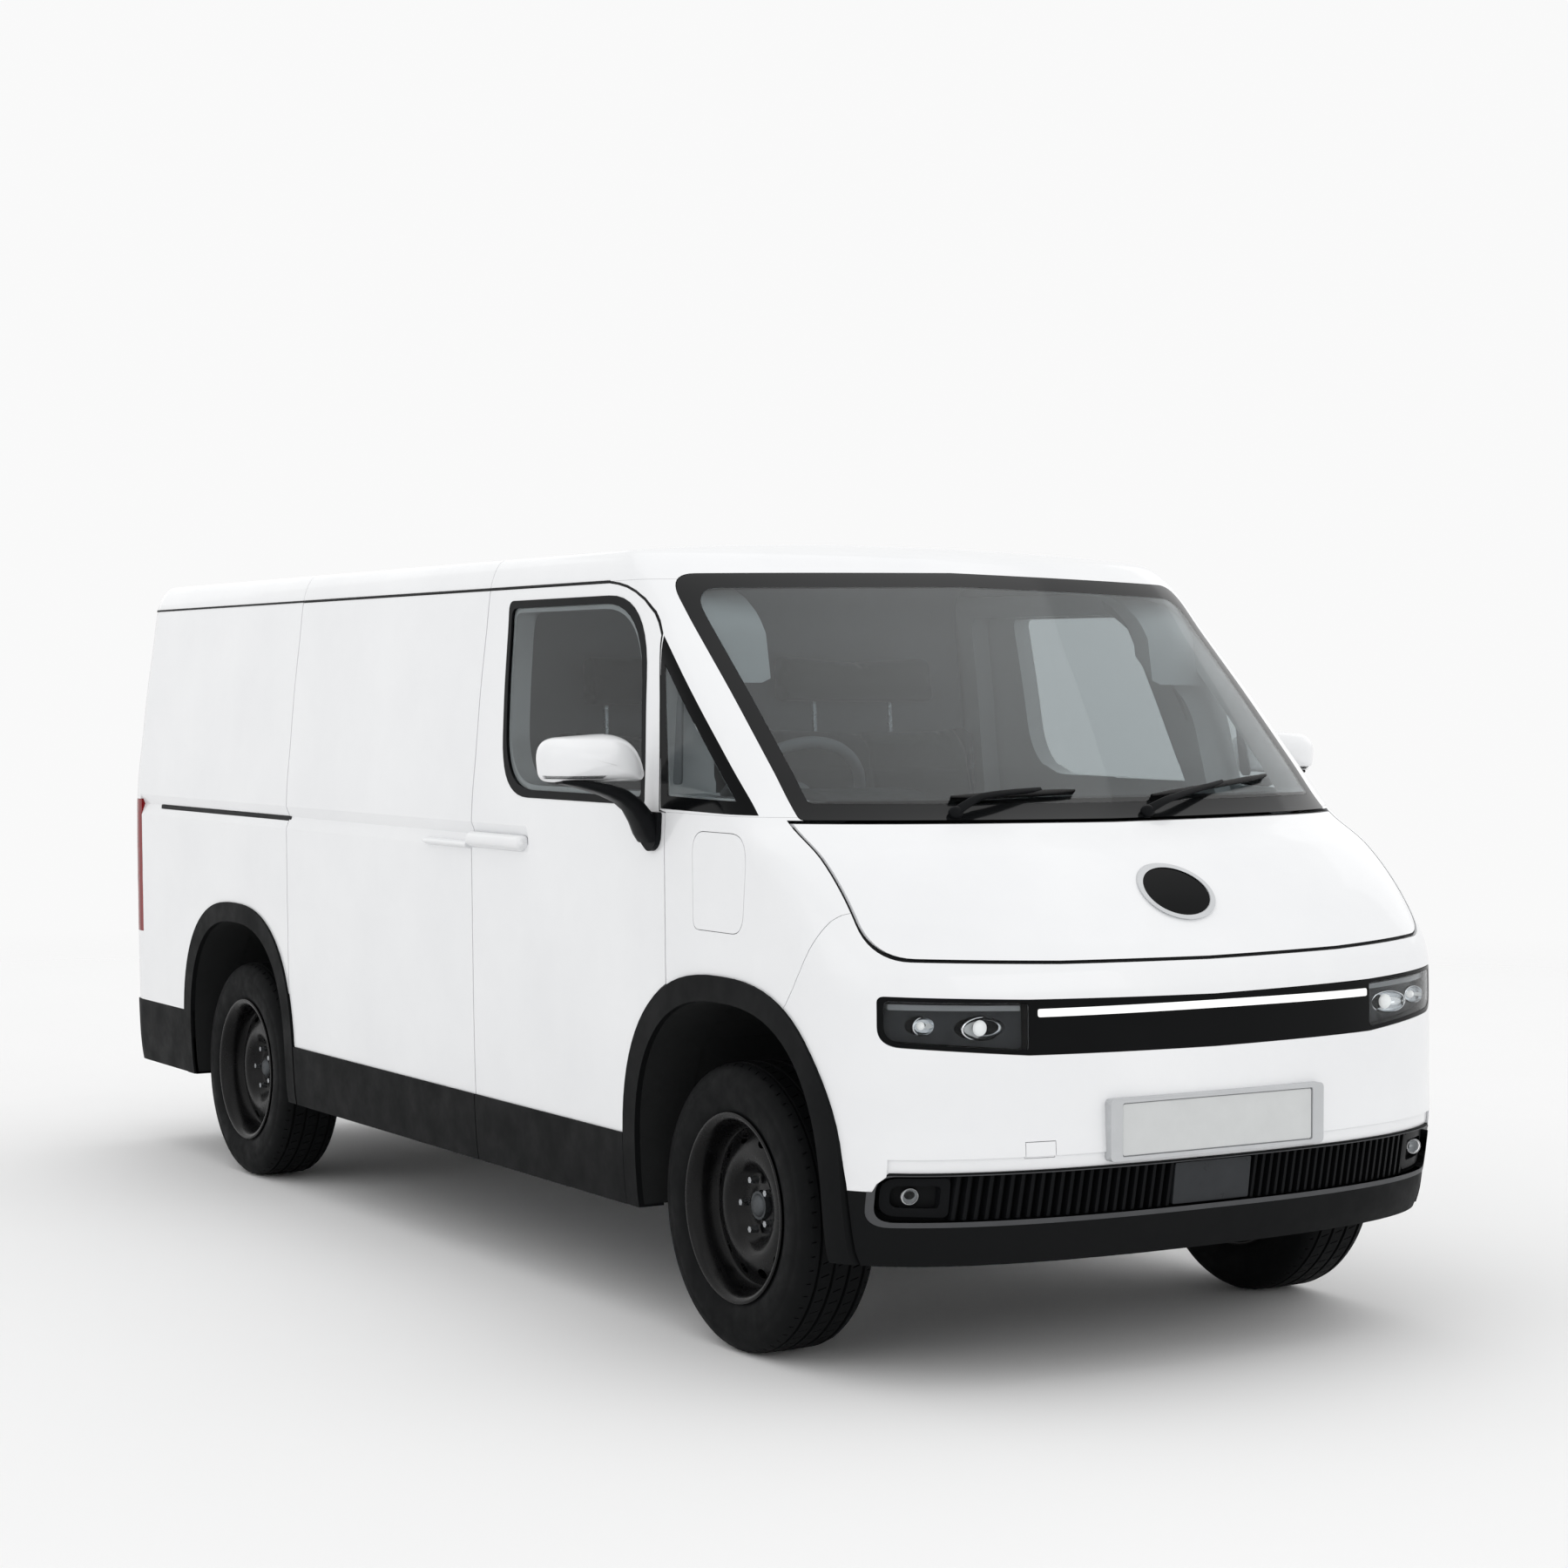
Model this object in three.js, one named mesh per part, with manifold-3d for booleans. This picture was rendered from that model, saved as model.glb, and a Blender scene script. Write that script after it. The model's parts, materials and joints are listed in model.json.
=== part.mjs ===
// A narrow electric panel van, in millimetres. +Z is up, the nose points along -Y, and the
// origin is on the ground under the middle of the van. "Right" is the driver's side, at -X.
import * as THREE from "three";
import { mergeVertices } from "three/addons/utils/BufferGeometryUtils.js";
import Module from "manifold-3d";

const wasm = await Module();
wasm.setup();

// ---- Driving dimensions ----------------------------------------------------------------
const wheelbase = 2930;
const frontAxleY = -1580;
const bodyHalfWidth = 846;
const noseY = -2280;
const tailY = 2265;
const roofHeight = 1845;

const skin = 60; // depth of a door or a body wall
const frameDepth = 55; // depth of the inner frame behind a door
const roofSkin = 42;
const glassDepth = 6;
const fit = 0.4; // between pieces that touch
const shutGap = 6; // round everything that opens
const rearSplit = 8; // between the two rear doors

const tyreRadius = 325;
const tyreWidth = 195;
const wheelCentreX = bodyHalfWidth - 136;
const rimFlangeRadius = 209;
const rimBoreRadius = 34;

const skirtBottom = 268; // lowest edge of the doors
const claddingTop = 437;
const bumperSplit = 468; // top of the black lower bumper across the nose
const rearBumperTop = 466;
const bumperStep = 15; // the rear bumper stands this far behind the doors
const beltZ = 1193; // foot of the windscreen pillar
const gutterZ = 1729;
const doorTop = gutterZ - shutGap; // every door stops this far under the gutter

const doorFrontY = -1345;
const doorRearY = -330;
const slideRearY = 915;
const archTop = 839;
const archCentreZ = 380;
const archHalfWidth = 462;
const rearArchHalfWidth = 445;
const rearArchTop = 829;
const archLip = 58; // width of the black lip round each arch
const frontArchY = frontAxleY - 15;
const rearAxleY = frontAxleY + wheelbase;
const rearArchY = rearAxleY - 15;

const windscreenHalf = bodyHalfWidth - 101;
const headerHalf = 630; // half the roof's flange over the windscreen
const bonnetHalf = bodyHalfWidth - 84;
const lampHalf = bodyHalfWidth - 80;
const floorHalf = bodyHalfWidth - 134;
const bonnetSwing = 630; // half the width of the firewall that the bonnet's rear corners swing past
const floorTop = 630;
const floorDepth = 40;
const firewallY = -1760;
const rearDoorHalf = bodyHalfWidth - 110;
const tailLampX = rearDoorHalf + 6;

// The hull's outer form: at each height, half width, nose and tail, and how deep their corners run.
const noseRound = 2.5;
const tailRound = 4;
const stations = [
  { z: 262, half: 818, nose: 40, noseDeep: 340, tail: 6, tailDeep: 90 },
  { z: 300, half: 824, nose: 26, noseDeep: 340, tail: 4, tailDeep: 90 },
  { z: 361, half: 829, nose: 16, noseDeep: 340, tail: 0, tailDeep: 90 },
  { z: 440, half: 833, nose: 6, noseDeep: 340, tail: 0, tailDeep: 90 },
  { z: 495, half: 835, nose: 0, noseDeep: 340, tail: 0, tailDeep: 90 },
  { z: 560, half: 837, nose: 4, noseDeep: 340, tail: 0, tailDeep: 90 },
  { z: 700, half: 840, nose: 8, noseDeep: 340, tail: 0, tailDeep: 90 },
  { z: 830, half: 842, nose: 12, noseDeep: 340, tail: 0, tailDeep: 90 },
  { z: 870, half: 843, nose: 21, noseDeep: 340, tail: 0, tailDeep: 90 },
  { z: 897, half: 843, nose: 34, noseDeep: 338, tail: 0, tailDeep: 90 },
  { z: 960, half: 844, nose: 83, noseDeep: 330, tail: 0, tailDeep: 90 },
  { z: 1030, half: 845, nose: 148, noseDeep: 322, tail: 2, tailDeep: 90 },
  { z: 1110, half: 846, nose: 248, noseDeep: 312, tail: 5, tailDeep: 90 },
  { z: 1182, half: 844, nose: 383, noseDeep: 300, tail: 9, tailDeep: 90 },
  { z: 1300, half: 834, nose: 512, noseDeep: 280, tail: 17, tailDeep: 90 },
  { z: 1468, half: 820, nose: 696, noseDeep: 250, tail: 29, tailDeep: 90 },
  { z: 1620, half: 803, nose: 868, noseDeep: 222, tail: 41, tailDeep: 90 },
  { z: 1735, half: 790, nose: 997, noseDeep: 197, tail: 49, tailDeep: 90 },
  { z: 1765, half: 781, nose: 1035, noseDeep: 195, tail: 54, tailDeep: 95 },
  { z: 1790, half: 768, nose: 1073, noseDeep: 195, tail: 65, tailDeep: 100 },
  { z: 1803, half: 752, nose: 1110, noseDeep: 195, tail: 82, tailDeep: 110 },
  { z: 1813, half: 650, nose: 1148, noseDeep: 200, tail: 102, tailDeep: 120 },
  { z: 1824, half: 525, nose: 1213, noseDeep: 220, tail: 132, tailDeep: 120 },
  { z: 1834, half: 375, nose: 1318, noseDeep: 260, tail: 202, tailDeep: 120 },
  { z: 1841, half: 225, nose: 1478, noseDeep: 280, tail: 362, tailDeep: 120 },
  { z: 1845, half: 12, nose: 1778, noseDeep: 20, tail: 662, tailDeep: 20 },
];
const widest = Math.max(...stations.map((s) => s.half));
const highest = stations[stations.length - 1].z;

// ---- Solids ----------------------------------------------------------------------------
function toSolid(geometry) {
  const bare = geometry.clone();
  bare.deleteAttribute("normal");
  bare.deleteAttribute("uv");
  const merged = mergeVertices(bare, 1e-3);
  return new wasm.Manifold(
    new wasm.Mesh({
      numProp: 3,
      vertProperties: new Float32Array(merged.attributes.position.array),
      triVerts: new Uint32Array(merged.index.array),
    }),
  );
}

function toGeometry(solid) {
  const mesh = solid.getMesh();
  const geometry = new THREE.BufferGeometry();
  geometry.setAttribute("position", new THREE.BufferAttribute(new Float32Array(mesh.vertProperties), 3));
  geometry.setIndex(new THREE.BufferAttribute(new Uint32Array(mesh.triVerts), 1));
  geometry.computeVertexNormals();
  return geometry;
}

// The piece without the slivers of no thickness that a cut along a shared face leaves.
function whole(solid) {
  return solid.decompose().reduce((a, b) => (b.volume() > a.volume() ? b : a));
}

function join(...solids) {
  return solids.reduce((whole, solid) => whole.add(solid));
}

function box(x0, x1, y0, y1, z0, z1) {
  const [xa, xb] = [Math.min(x0, x1), Math.max(x0, x1)];
  const geometry = new THREE.BoxGeometry(xb - xa, y1 - y0, z1 - z0);
  geometry.translate((xa + xb) / 2, (y0 + y1) / 2, (z0 + z1) / 2);
  return toSolid(geometry);
}

function shapeOf(points) {
  return new THREE.Shape(points.map(([u, v]) => new THREE.Vector2(u, v)));
}

function extrude(shape, depth, curveSegments = 6) {
  return new THREE.ExtrudeGeometry(shape, { depth, bevelEnabled: false, curveSegments });
}

// A prism whose outline is drawn in the side view, as (y, z), and which runs from x0 to x1.
function sidePrism(shape, x0, x1) {
  const geometry = extrude(shape, Math.abs(x1 - x0));
  geometry.rotateX(Math.PI / 2);
  geometry.rotateZ(Math.PI / 2);
  geometry.translate(Math.min(x0, x1), 0, 0);
  return toSolid(geometry);
}

// A prism whose outline is drawn in the front view, as (x, z), and which runs from y0 to y1.
function frontPrism(shape, y0, y1) {
  const geometry = extrude(shape, y1 - y0);
  geometry.rotateX(Math.PI / 2);
  geometry.translate(0, y1, 0);
  return toSolid(geometry);
}

// A prism whose outline is drawn from above, as (x, y), and which runs from z0 to z1.
function planPrism(shape, z0, z1) {
  const geometry = extrude(shape, z1 - z0);
  geometry.translate(0, 0, z0);
  return toSolid(geometry);
}

// An outline with rounded corners: each point may carry its corner's radius.
function rounded(points) {
  const shape = new THREE.Shape();
  const count = points.length;
  points.forEach(([u, v, radius = 0], i) => {
    const here = new THREE.Vector2(u, v);
    const before = new THREE.Vector2(...points[(i + count - 1) % count].slice(0, 2));
    const after = new THREE.Vector2(...points[(i + 1) % count].slice(0, 2));
    const start = here.clone().add(before.sub(here).setLength(radius));
    const end = here.clone().add(after.sub(here).setLength(radius));
    if (i === 0) shape.moveTo(start.x, start.y);
    else shape.lineTo(start.x, start.y);
    if (radius > 0) shape.quadraticCurveTo(u, v, end.x, end.y);
  });
  shape.closePath();
  return shape;
}

// A round bar from one point to another.
function rod(from, to, radius, sides = 16) {
  const a = new THREE.Vector3(...from);
  const b = new THREE.Vector3(...to);
  const geometry = new THREE.CylinderGeometry(radius, radius, a.distanceTo(b), sides);
  const turn = new THREE.Quaternion().setFromUnitVectors(
    new THREE.Vector3(0, 1, 0),
    b.clone().sub(a).normalize(),
  );
  geometry.applyQuaternion(turn);
  geometry.translate((a.x + b.x) / 2, (a.y + b.y) / 2, (a.z + b.z) / 2);
  return toSolid(geometry);
}

// A solid of revolution about a line along X, from (radius, x) points.
function turnedAboutX(profile, y, z, sides) {
  const geometry = new THREE.LatheGeometry(
    profile.map(([radius, x]) => new THREE.Vector2(radius, x)),
    sides,
  );
  geometry.rotateY(Math.PI / sides);
  geometry.rotateZ(-Math.PI / 2);
  geometry.translate(0, y, z);
  return toSolid(geometry);
}

// ---- Hull ------------------------------------------------------------------------------
// One closed outline of the hull, front corner arcs first, then the tail's.
function ring(station) {
  const front = 12;
  const back = 6;
  const power = (value, round) => Math.sign(value) * Math.abs(value) ** (2 / round);
  const points = [];
  for (let i = 0; i <= front; i++) {
    const angle = -Math.PI / 2 + (Math.PI * i) / front;
    const x = station.half * power(Math.sin(angle), noseRound);
    const y = station.nose + station.noseDeep * (1 - power(Math.cos(angle), noseRound));
    points.push([x, y]);
  }
  for (let i = 0; i <= back; i++) {
    const angle = Math.PI / 2 - (Math.PI * i) / back;
    const x = station.half * power(Math.sin(angle), tailRound);
    const y = station.tail - station.tailDeep * (1 - power(Math.cos(angle), tailRound));
    points.push([x, y]);
  }
  return points.map(([x, y]) => [x, y, station.z]);
}

// The hull as a solid, with its faces moved in by `inset`; `lift` lowers the roof, `step` adds to the tail.
function hull(inset, lift = inset, step = 0) {
  const levels = stations.map((station) => {
    const roofShare = THREE.MathUtils.smoothstep(station.z, gutterZ - 40, highest);
    const slope = station.z > stations[9].z ? 1.35 : 1;
    return {
      z: station.z - lift * roofShare - (inset > 0 && station === stations[0] ? 60 : 0),
      half: Math.max(station.half * (bodyHalfWidth / widest) - inset * (1 - 0.7 * roofShare), 6),
      nose: noseY + station.nose + inset * slope,
      noseDeep: Math.max(station.noseDeep - inset * 0.4, 15),
      tail: tailY - station.tail - inset + step,
      tailDeep: Math.max(station.tailDeep - inset * 0.4, 15),
    };
  });
  const scaleZ = roofHeight / highest;
  const rings = levels.map((level) => ring(level).map(([x, y, z]) => [x, y, z * scaleZ]));
  return loft(rings);
}

// A closed skin over a stack of outlines that hold the same number of points.
function loft(rings) {
  const size = rings[0].length;
  const positions = rings.flat(2);
  const index = [];
  for (let level = 0; level + 1 < rings.length; level++)
    for (let i = 0; i < size; i++) {
      const a = level * size + i;
      const b = level * size + ((i + 1) % size);
      index.push(a, b, b + size, a, b + size, a + size);
    }
  const outline = rings[0].map(([x, y]) => new THREE.Vector2(x, y));
  const cap = THREE.ShapeUtils.triangulateShape(outline, []);
  const top = (rings.length - 1) * size;
  for (const [a, b, c] of cap) {
    index.push(a, c, b);
    index.push(top + a, top + b, top + c);
  }
  const geometry = new THREE.BufferGeometry();
  geometry.setAttribute("position", new THREE.Float32BufferAttribute(positions, 3));
  geometry.setIndex(index);
  return toSolid(geometry);
}

const outer = hull(0);
const wall = outer.subtract(hull(skin, roofSkin));
const glassLayer = outer.subtract(hull(glassDepth));
const glassBack = hull(glassDepth + fit);
const frameInner = hull(skin + shutGap + frameDepth, roofSkin);
const frameLayer = hull(skin + shutGap, roofSkin).subtract(frameInner);
const deepLayer = outer.subtract(frameInner);
const reach = bodyHalfWidth + 54; // past the widest of the hull
const ahead = noseY - 100;
const behind = tailY + 100;

// ---- Outlines that several pieces share ------------------------------------------------
// A wheel arch in the side view, open at the bottom: `grow` is how far it stands off the lip's edge.
function archShape(centreY, halfWidth, top, grow, bottom = 100) {
  const steps = 18;
  const points = [[centreY - halfWidth - grow, bottom]];
  for (let i = 0; i <= steps; i++) {
    const angle = Math.PI - (Math.PI * i) / steps;
    const along = Math.sign(Math.cos(angle)) * Math.abs(Math.cos(angle)) ** (2 / noseRound);
    const up = Math.sin(angle) ** (2 / noseRound);
    points.push([centreY + (halfWidth + grow) * along, archCentreZ + (top - archCentreZ + grow) * up]);
  }
  points.push([centreY + halfWidth + grow, bottom]);
  return shapeOf(points);
}
const frontArch = (grow, x0, x1) => sidePrism(archShape(frontArchY, archHalfWidth, archTop, grow), x0, x1);
const rearArch = (grow, x0, x1) =>
  sidePrism(archShape(rearArchY, rearArchHalfWidth, rearArchTop, grow), x0, x1);

// The shut line from the belt up the front edge of the door's window frame to the gutter.
const doorFrameLine = [
  [doorFrontY + 27, beltZ + 4],
  [doorFrontY + 64, 1454],
  [doorFrontY + 92, 1600],
  [doorFrontY + 137, 1650],
  [doorFrontY + 185, 1684],
  [doorFrontY + 275, 1716],
  [doorFrontY + 365, gutterZ],
];
const shift = (points, dy, dz = 0) => points.map(([y, z]) => [y + dy, z + dz]);

function doorShape() {
  const half = shutGap / 2;
  return shapeOf([
    [doorRearY - half, skirtBottom],
    [doorRearY - half, doorTop],
    ...shift(doorFrameLine, half, -shutGap).reverse(),
    [doorFrontY + half, beltZ - half],
    [doorFrontY + half, skirtBottom],
  ]);
}

// The door's window: `margin` shrinks it.
function doorWindow(margin) {
  return rounded([
    [doorRearY - 125 - margin, 1690 - margin, 25],
    [doorFrontY + 165 + margin, 1690 - margin, 200],
    [doorFrontY + 105 + margin, 1210 + margin, 15],
    [doorRearY - 170 - margin, 1210 + margin, 150],
  ]);
}

// The fixed triangular window between the door and the windscreen pillar.
function quarterWindow(margin) {
  return shapeOf([
    [doorFrontY + 24 - margin, beltZ + 7 + margin],
    [doorFrontY + 86 - margin, 1596 - 2.2 * margin],
    [doorFrontY - 355 + 2.2 * margin, beltZ + 3 + margin],
  ]);
}

// The windscreen in the front view.
function windscreenShape(margin) {
  const w = windscreenHalf - margin;
  return rounded([
    [-w, beltZ - 6 + margin, 10],
    [0, beltZ - 12 + margin],
    [w, beltZ - 6 + margin, 10],
    [w, 1742 - margin, 60],
    [0, 1757 - margin],
    [-w, 1742 - margin, 60],
  ]);
}

// The bonnet in the front view.
function bonnetShape(grow) {
  const w = bonnetHalf + grow;
  return rounded([
    [-w, beltZ - 12 + grow],
    [-w, 912 - grow, 72],
    [-bonnetHalf / 2, 900 - grow],
    [0, 896 - grow],
    [bonnetHalf / 2, 900 - grow],
    [w, 912 - grow, 72],
    [w, beltZ - 12 + grow],
    [0, beltZ - 18 + grow],
  ]);
}

// The shut line between wing and bumper, from the arch up to the bonnet's corner.
const bumperLine = [
  [-1860, 795],
  [-1867, 801],
  [-1929, 877],
  [-1967, 943],
  [-1987, 985],
  [-2013, 1003],
];

// The black band across the nose that holds both headlamps.
function lampShape(grow) {
  return rounded([
    [-lampHalf - grow, 834 + grow, 14],
    [-lampHalf - grow, 733 - grow, 40],
    [-470, 709 - grow],
    [0, 705 - grow],
    [470, 709 - grow],
    [lampHalf + grow, 733 - grow, 40],
    [lampHalf + grow, 834 + grow, 14],
    [470, 823 + grow],
    [0, 816 + grow],
    [-470, 823 + grow],
  ]);
}

// The white bumper's lower edge, from one arch to the other.
function bumperEdge(gap) {
  return [
    [-reach, 428 + gap],
    [-lampHalf - 6, 428 + gap],
    [-lampHalf, 445 + gap],
    [-windscreenHalf, bumperSplit + gap],
    [windscreenHalf, bumperSplit + gap],
    [lampHalf, 445 + gap],
    [lampHalf + 6, 428 + gap],
    [reach, 428 + gap],
  ];
}

// ---- Body ------------------------------------------------------------------------------
function roofPanel() {
  const above = box(-reach, reach, ahead, behind, gutterZ + fit / 2, roofHeight + 50);
  const screen = frontPrism(windscreenShape(0), ahead, -900);
  const clear = frontPrism(windscreenShape(38), ahead, -900);
  const header = wall
    .intersect(glassBack)
    .intersect(frontPrism(windscreenShape(-4), ahead, -900))
    .subtract(clear)
    .intersect(box(-headerHalf, headerHalf, ahead, -900, 1700, roofHeight));
  return join(wall.intersect(above).subtract(screen), header);
}

// Ring of inner frame round the two door openings of one side.
function innerFrame(side) {
  const [x0, x1] = [side * 560, side * reach];
  const ringShape = sidePrism(
    shapeOf([
      [-1150, 300],
      [945, 300],
      [945, gutterZ - 4],
      [-1110, gutterZ - 4],
      [-1400, beltZ],
      [-1400, 600],
      [-1150, 600],
    ]),
    x0,
    x1,
  );
  const frontOpening = sidePrism(
    rounded([
      [doorRearY - 35, 560, 40],
      [doorRearY - 35, 1668, 40],
      [-1060, 1668, 60],
      [-1290, beltZ, 20],
      [-1290, 820, 20],
      [-1095, 700, 40],
      [-1095, 560, 20],
    ]),
    x0,
    x1,
  );
  const slideOpening = sidePrism(
    rounded([
      [doorRearY + 35, 560, 40],
      [slideRearY - 60, 560, 40],
      [slideRearY - 60, 1668, 40],
      [doorRearY + 35, 1668, 40],
    ]),
    x0,
    x1,
  );
  return frameLayer
    .intersect(ringShape)
    .subtract(frontOpening)
    .subtract(slideOpening)
    .subtract(frontArch(16 - archLip, x0, x1));
}

function bodySide(side) {
  const [x0, x1] = [side * 560, side * reach];
  const half = shutGap / 2;
  const quarter = wall
    .intersect(box(x0, x1, slideRearY + half, behind, rearBumperTop + fit, gutterZ - fit / 2))
    .subtract(box(side * 560, side * (rearDoorHalf + shutGap), 2000, behind, 0, 2000));
  const lip = wall
    .intersect(rearArch(0, x0, x1))
    .intersect(box(x0, x1, 800, 1900, rearBumperTop + fit, 1000))
    .add(wall.intersect(rearArch(0, x0, x1)).intersect(box(x0, x1, 800, rearArchY, skirtBottom, 1000)));
  const doorEdge = shift(doorFrameLine, -half, 0);
  const pillarShape = sidePrism(
    shapeOf([
      [doorFrontY - half, beltZ + fit / 2],
      ...doorEdge,
      [-2300, gutterZ],
      [-2300, beltZ + fit / 2],
    ]),
    x0,
    x1,
  );
  const screen = frontPrism(windscreenShape(0), ahead, -900);
  const clear = frontPrism(windscreenShape(38), ahead, -900);
  const flange = wall
    .intersect(screen)
    .subtract(clear)
    .intersect(box(side * (headerHalf + 10), side * reach, ahead, -900, 1225, gutterZ - fit / 2))
    .intersect(pillarShape);
  const pillar = wall.intersect(pillarShape).subtract(screen).add(flange);
  const strip = deepLayer.intersect(
    sidePrism(shapeOf([...doorEdge, ...shift(doorFrameLine, -60, 0).reverse()]), x0, x1),
  );
  const rearStrip = deepLayer.intersect(box(x0, x1, slideRearY + half, 945, 640, gutterZ - 4));
  const lowStrip = deepLayer.intersect(box(x0, x1, slideRearY + half + 6, 945, 300, 560));
  const tail = box(side * tailLampX, x1, 2150, behind, 690 - fit, 1119 + fit);
  return join(quarter, lip, pillar, strip, innerFrame(side), rearStrip, lowStrip)
    .subtract(rearArch(-archLip, x0, x1))
    .subtract(hull(skin + 1).intersect(rearArch(16 - archLip, x0, x1)))
    .subtract(screen.subtract(glassBack))
    .subtract(sidePrism(quarterWindow(0), x0, x1).subtract(glassBack))
    .subtract(sidePrism(quarterWindow(34), x0, x1))
    .subtract(tail)
    .subtract(box(x0, x1, ahead, behind, gutterZ - fit / 2, 2000));
}

function frontWing(side) {
  const [x0, x1] = [side * 560, side * reach];
  const half = shutGap / 2;
  const upper = sidePrism(
    shapeOf([
      [doorFrontY - half, 600],
      [doorFrontY - half, beltZ - fit / 2],
      [-2300, beltZ - fit / 2],
      [-2300, 1006],
      ...[...bumperLine].reverse(),
      [-1860, 600],
    ]),
    x0,
    x1,
  );
  const lip = frontArch(-fit, x0, x1)
    .subtract(box(x0, x1, ahead, frontArchY, 0, claddingTop))
    .subtract(box(x0, x1, ahead, frontArchY, 0, bumperSplit + fit).intersect(box(-775, 775, ahead, -1985, 0, 900)));
  const flap = sidePrism(flapShape(shutGap / 2), x0, x1);
  return wall
    .intersect(join(upper, lip))
    .intersect(box(x0, x1, ahead, behind, skirtBottom, 2000))
    .subtract(frontPrism(bonnetShape(shutGap), ahead, -1500))
    .subtract(frontPrism(windscreenShape(-fit), ahead, -900))
    .subtract(frontArch(-archLip, x0, x1))
    .subtract(side < 0 ? flap.subtract(hull(24)) : box(0, 1, 0, 1, 0, 1));
}

// The charging flap in the right wing.
function flapShape(grow) {
  return rounded([
    [-1474 + grow, 1156 + grow, 50],
    [-1474 + grow, 936 - grow, 25],
    [-1690 - grow, 936 - grow, 45],
    [-1716 - grow, 1156 + grow, 75],
  ]);
}

function chargeFlap() {
  return outer.subtract(hull(10)).intersect(sidePrism(flapShape(-shutGap / 2), -600, -reach));
}

function bonnet() {
  return outer
    .subtract(hull(40))
    .intersect(frontPrism(bonnetShape(0), ahead, -1650));
}

function frontBumper() {
  const zone = sidePrism(
    shapeOf([
      [ahead, 400],
      [-1860 - fit, 400],
      ...shift(bumperLine, -fit),
      [-2013, 1100],
      [ahead, 1100],
    ]),
    -reach,
    reach,
  );
  const below = frontPrism(
    shapeOf([[-reach, 0], [reach, 0], ...bumperEdge(fit / 2).reverse()]),
    ahead,
    -1700,
  );
  const pocket = frontPrism(lampShape(fit), ahead, -1900).subtract(hull(44));
  return wall
    .intersect(zone)
    .subtract(below)
    .subtract(frontPrism(bonnetShape(shutGap), ahead, -1500))
    .subtract(frontArch(fit, -reach, reach))
    .subtract(pocket);
}

function lampBar() {
  return outer.subtract(hull(43)).intersect(frontPrism(lampShape(0), ahead, -1900));
}

function lowerBumper() {
  const zone = frontPrism(
    shapeOf([[-reach, skirtBottom], [reach, skirtBottom], ...bumperEdge(-fit / 2).reverse()]),
    ahead,
    -1990,
  );
  const grille = frontPrism(
    rounded([[-620, 372, 8], [620, 372, 8], [620, 462, 8], [-620, 462, 8]]),
    ahead,
    -1950,
  ).subtract(hull(26));
  return wall.intersect(zone).subtract(frontArch(-archLip, -reach, reach)).subtract(grille);
}

function rearBumper() {
  return hull(0, 0, bumperStep)
    .subtract(hull(skin))
    .intersect(box(-reach, reach, rearArchY, behind, skirtBottom, rearBumperTop))
    .subtract(rearArch(-archLip, -reach, reach));
}

function windscreen() {
  return glassLayer.intersect(frontPrism(windscreenShape(1), ahead, -900));
}

function quarterGlass(side) {
  return glassLayer.intersect(sidePrism(quarterWindow(1), side * 560, side * reach));
}

function frontDoor(side) {
  const [x0, x1] = [side * 560, side * reach];
  return wall
    .intersect(sidePrism(doorShape(), x0, x1))
    .subtract(frontArch(shutGap, x0, x1))
    .subtract(sidePrism(doorWindow(0), x0, x1).subtract(hull(3 + glassDepth + fit)))
    .subtract(sidePrism(doorWindow(26), x0, x1));
}

function doorGlass(side) {
  return hull(3)
    .subtract(hull(3 + glassDepth))
    .intersect(sidePrism(doorWindow(1), side * 560, side * reach));
}

function slidingDoor(side) {
  const half = shutGap / 2;
  const [x0, x1] = [side * 560, side * reach];
  return wall
    .intersect(box(x0, x1, doorRearY + half, slideRearY - half, skirtBottom, doorTop))
    .subtract(rearArch(shutGap, x0, x1));
}

function rearDoor(side) {
  const lean = Math.atan2(46, 1250);
  const wedge = new THREE.ExtrudeGeometry(
    shapeOf([
      [-rearSplit / 2, 20],
      [-rearSplit / 2 - 9, -90],
      [rearSplit / 2 + 9, -90],
      [rearSplit / 2, 20],
    ]),
    { depth: 1700, bevelEnabled: false },
  );
  wedge.rotateX(lean);
  wedge.translate(0, tailY, 300);
  return wall
    .intersect(box(0, side * rearDoorHalf, 2000, behind, rearBumperTop + shutGap, doorTop))
    .subtract(toSolid(wedge));
}

function tailLamp(side) {
  return outer
    .subtract(hull(44))
    .intersect(box(side * (tailLampX + fit), side * reach, 2150 + fit, behind, 690, 1119));
}

// ---- Floor, firewall and bulkhead --------------------------------------------------------
const houseWall = 12;
const houseEdge = 2 - archLip; // inner face of a wheel house, as an offset of its arch

// An arch liner with an inboard wall, from the arch's lip in to `innerX`.
function wheelHouse(side, arch, innerX, bottom) {
  const [x0, x1] = [side * innerX, side * (floorHalf + 60)];
  const over = arch(houseEdge + houseWall, x0, x1).subtract(arch(houseEdge, x0 - side, x1 + side));
  const inboard = arch(houseEdge + houseWall, side * (innerX - houseWall), x0);
  return over
    .add(inboard)
    .intersect(box(-reach, reach, noseY + 230, behind, bottom, 900))
    .intersect(hull(72));
}

const frontHouseX = 425;
const rearHouseX = 560;

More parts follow.
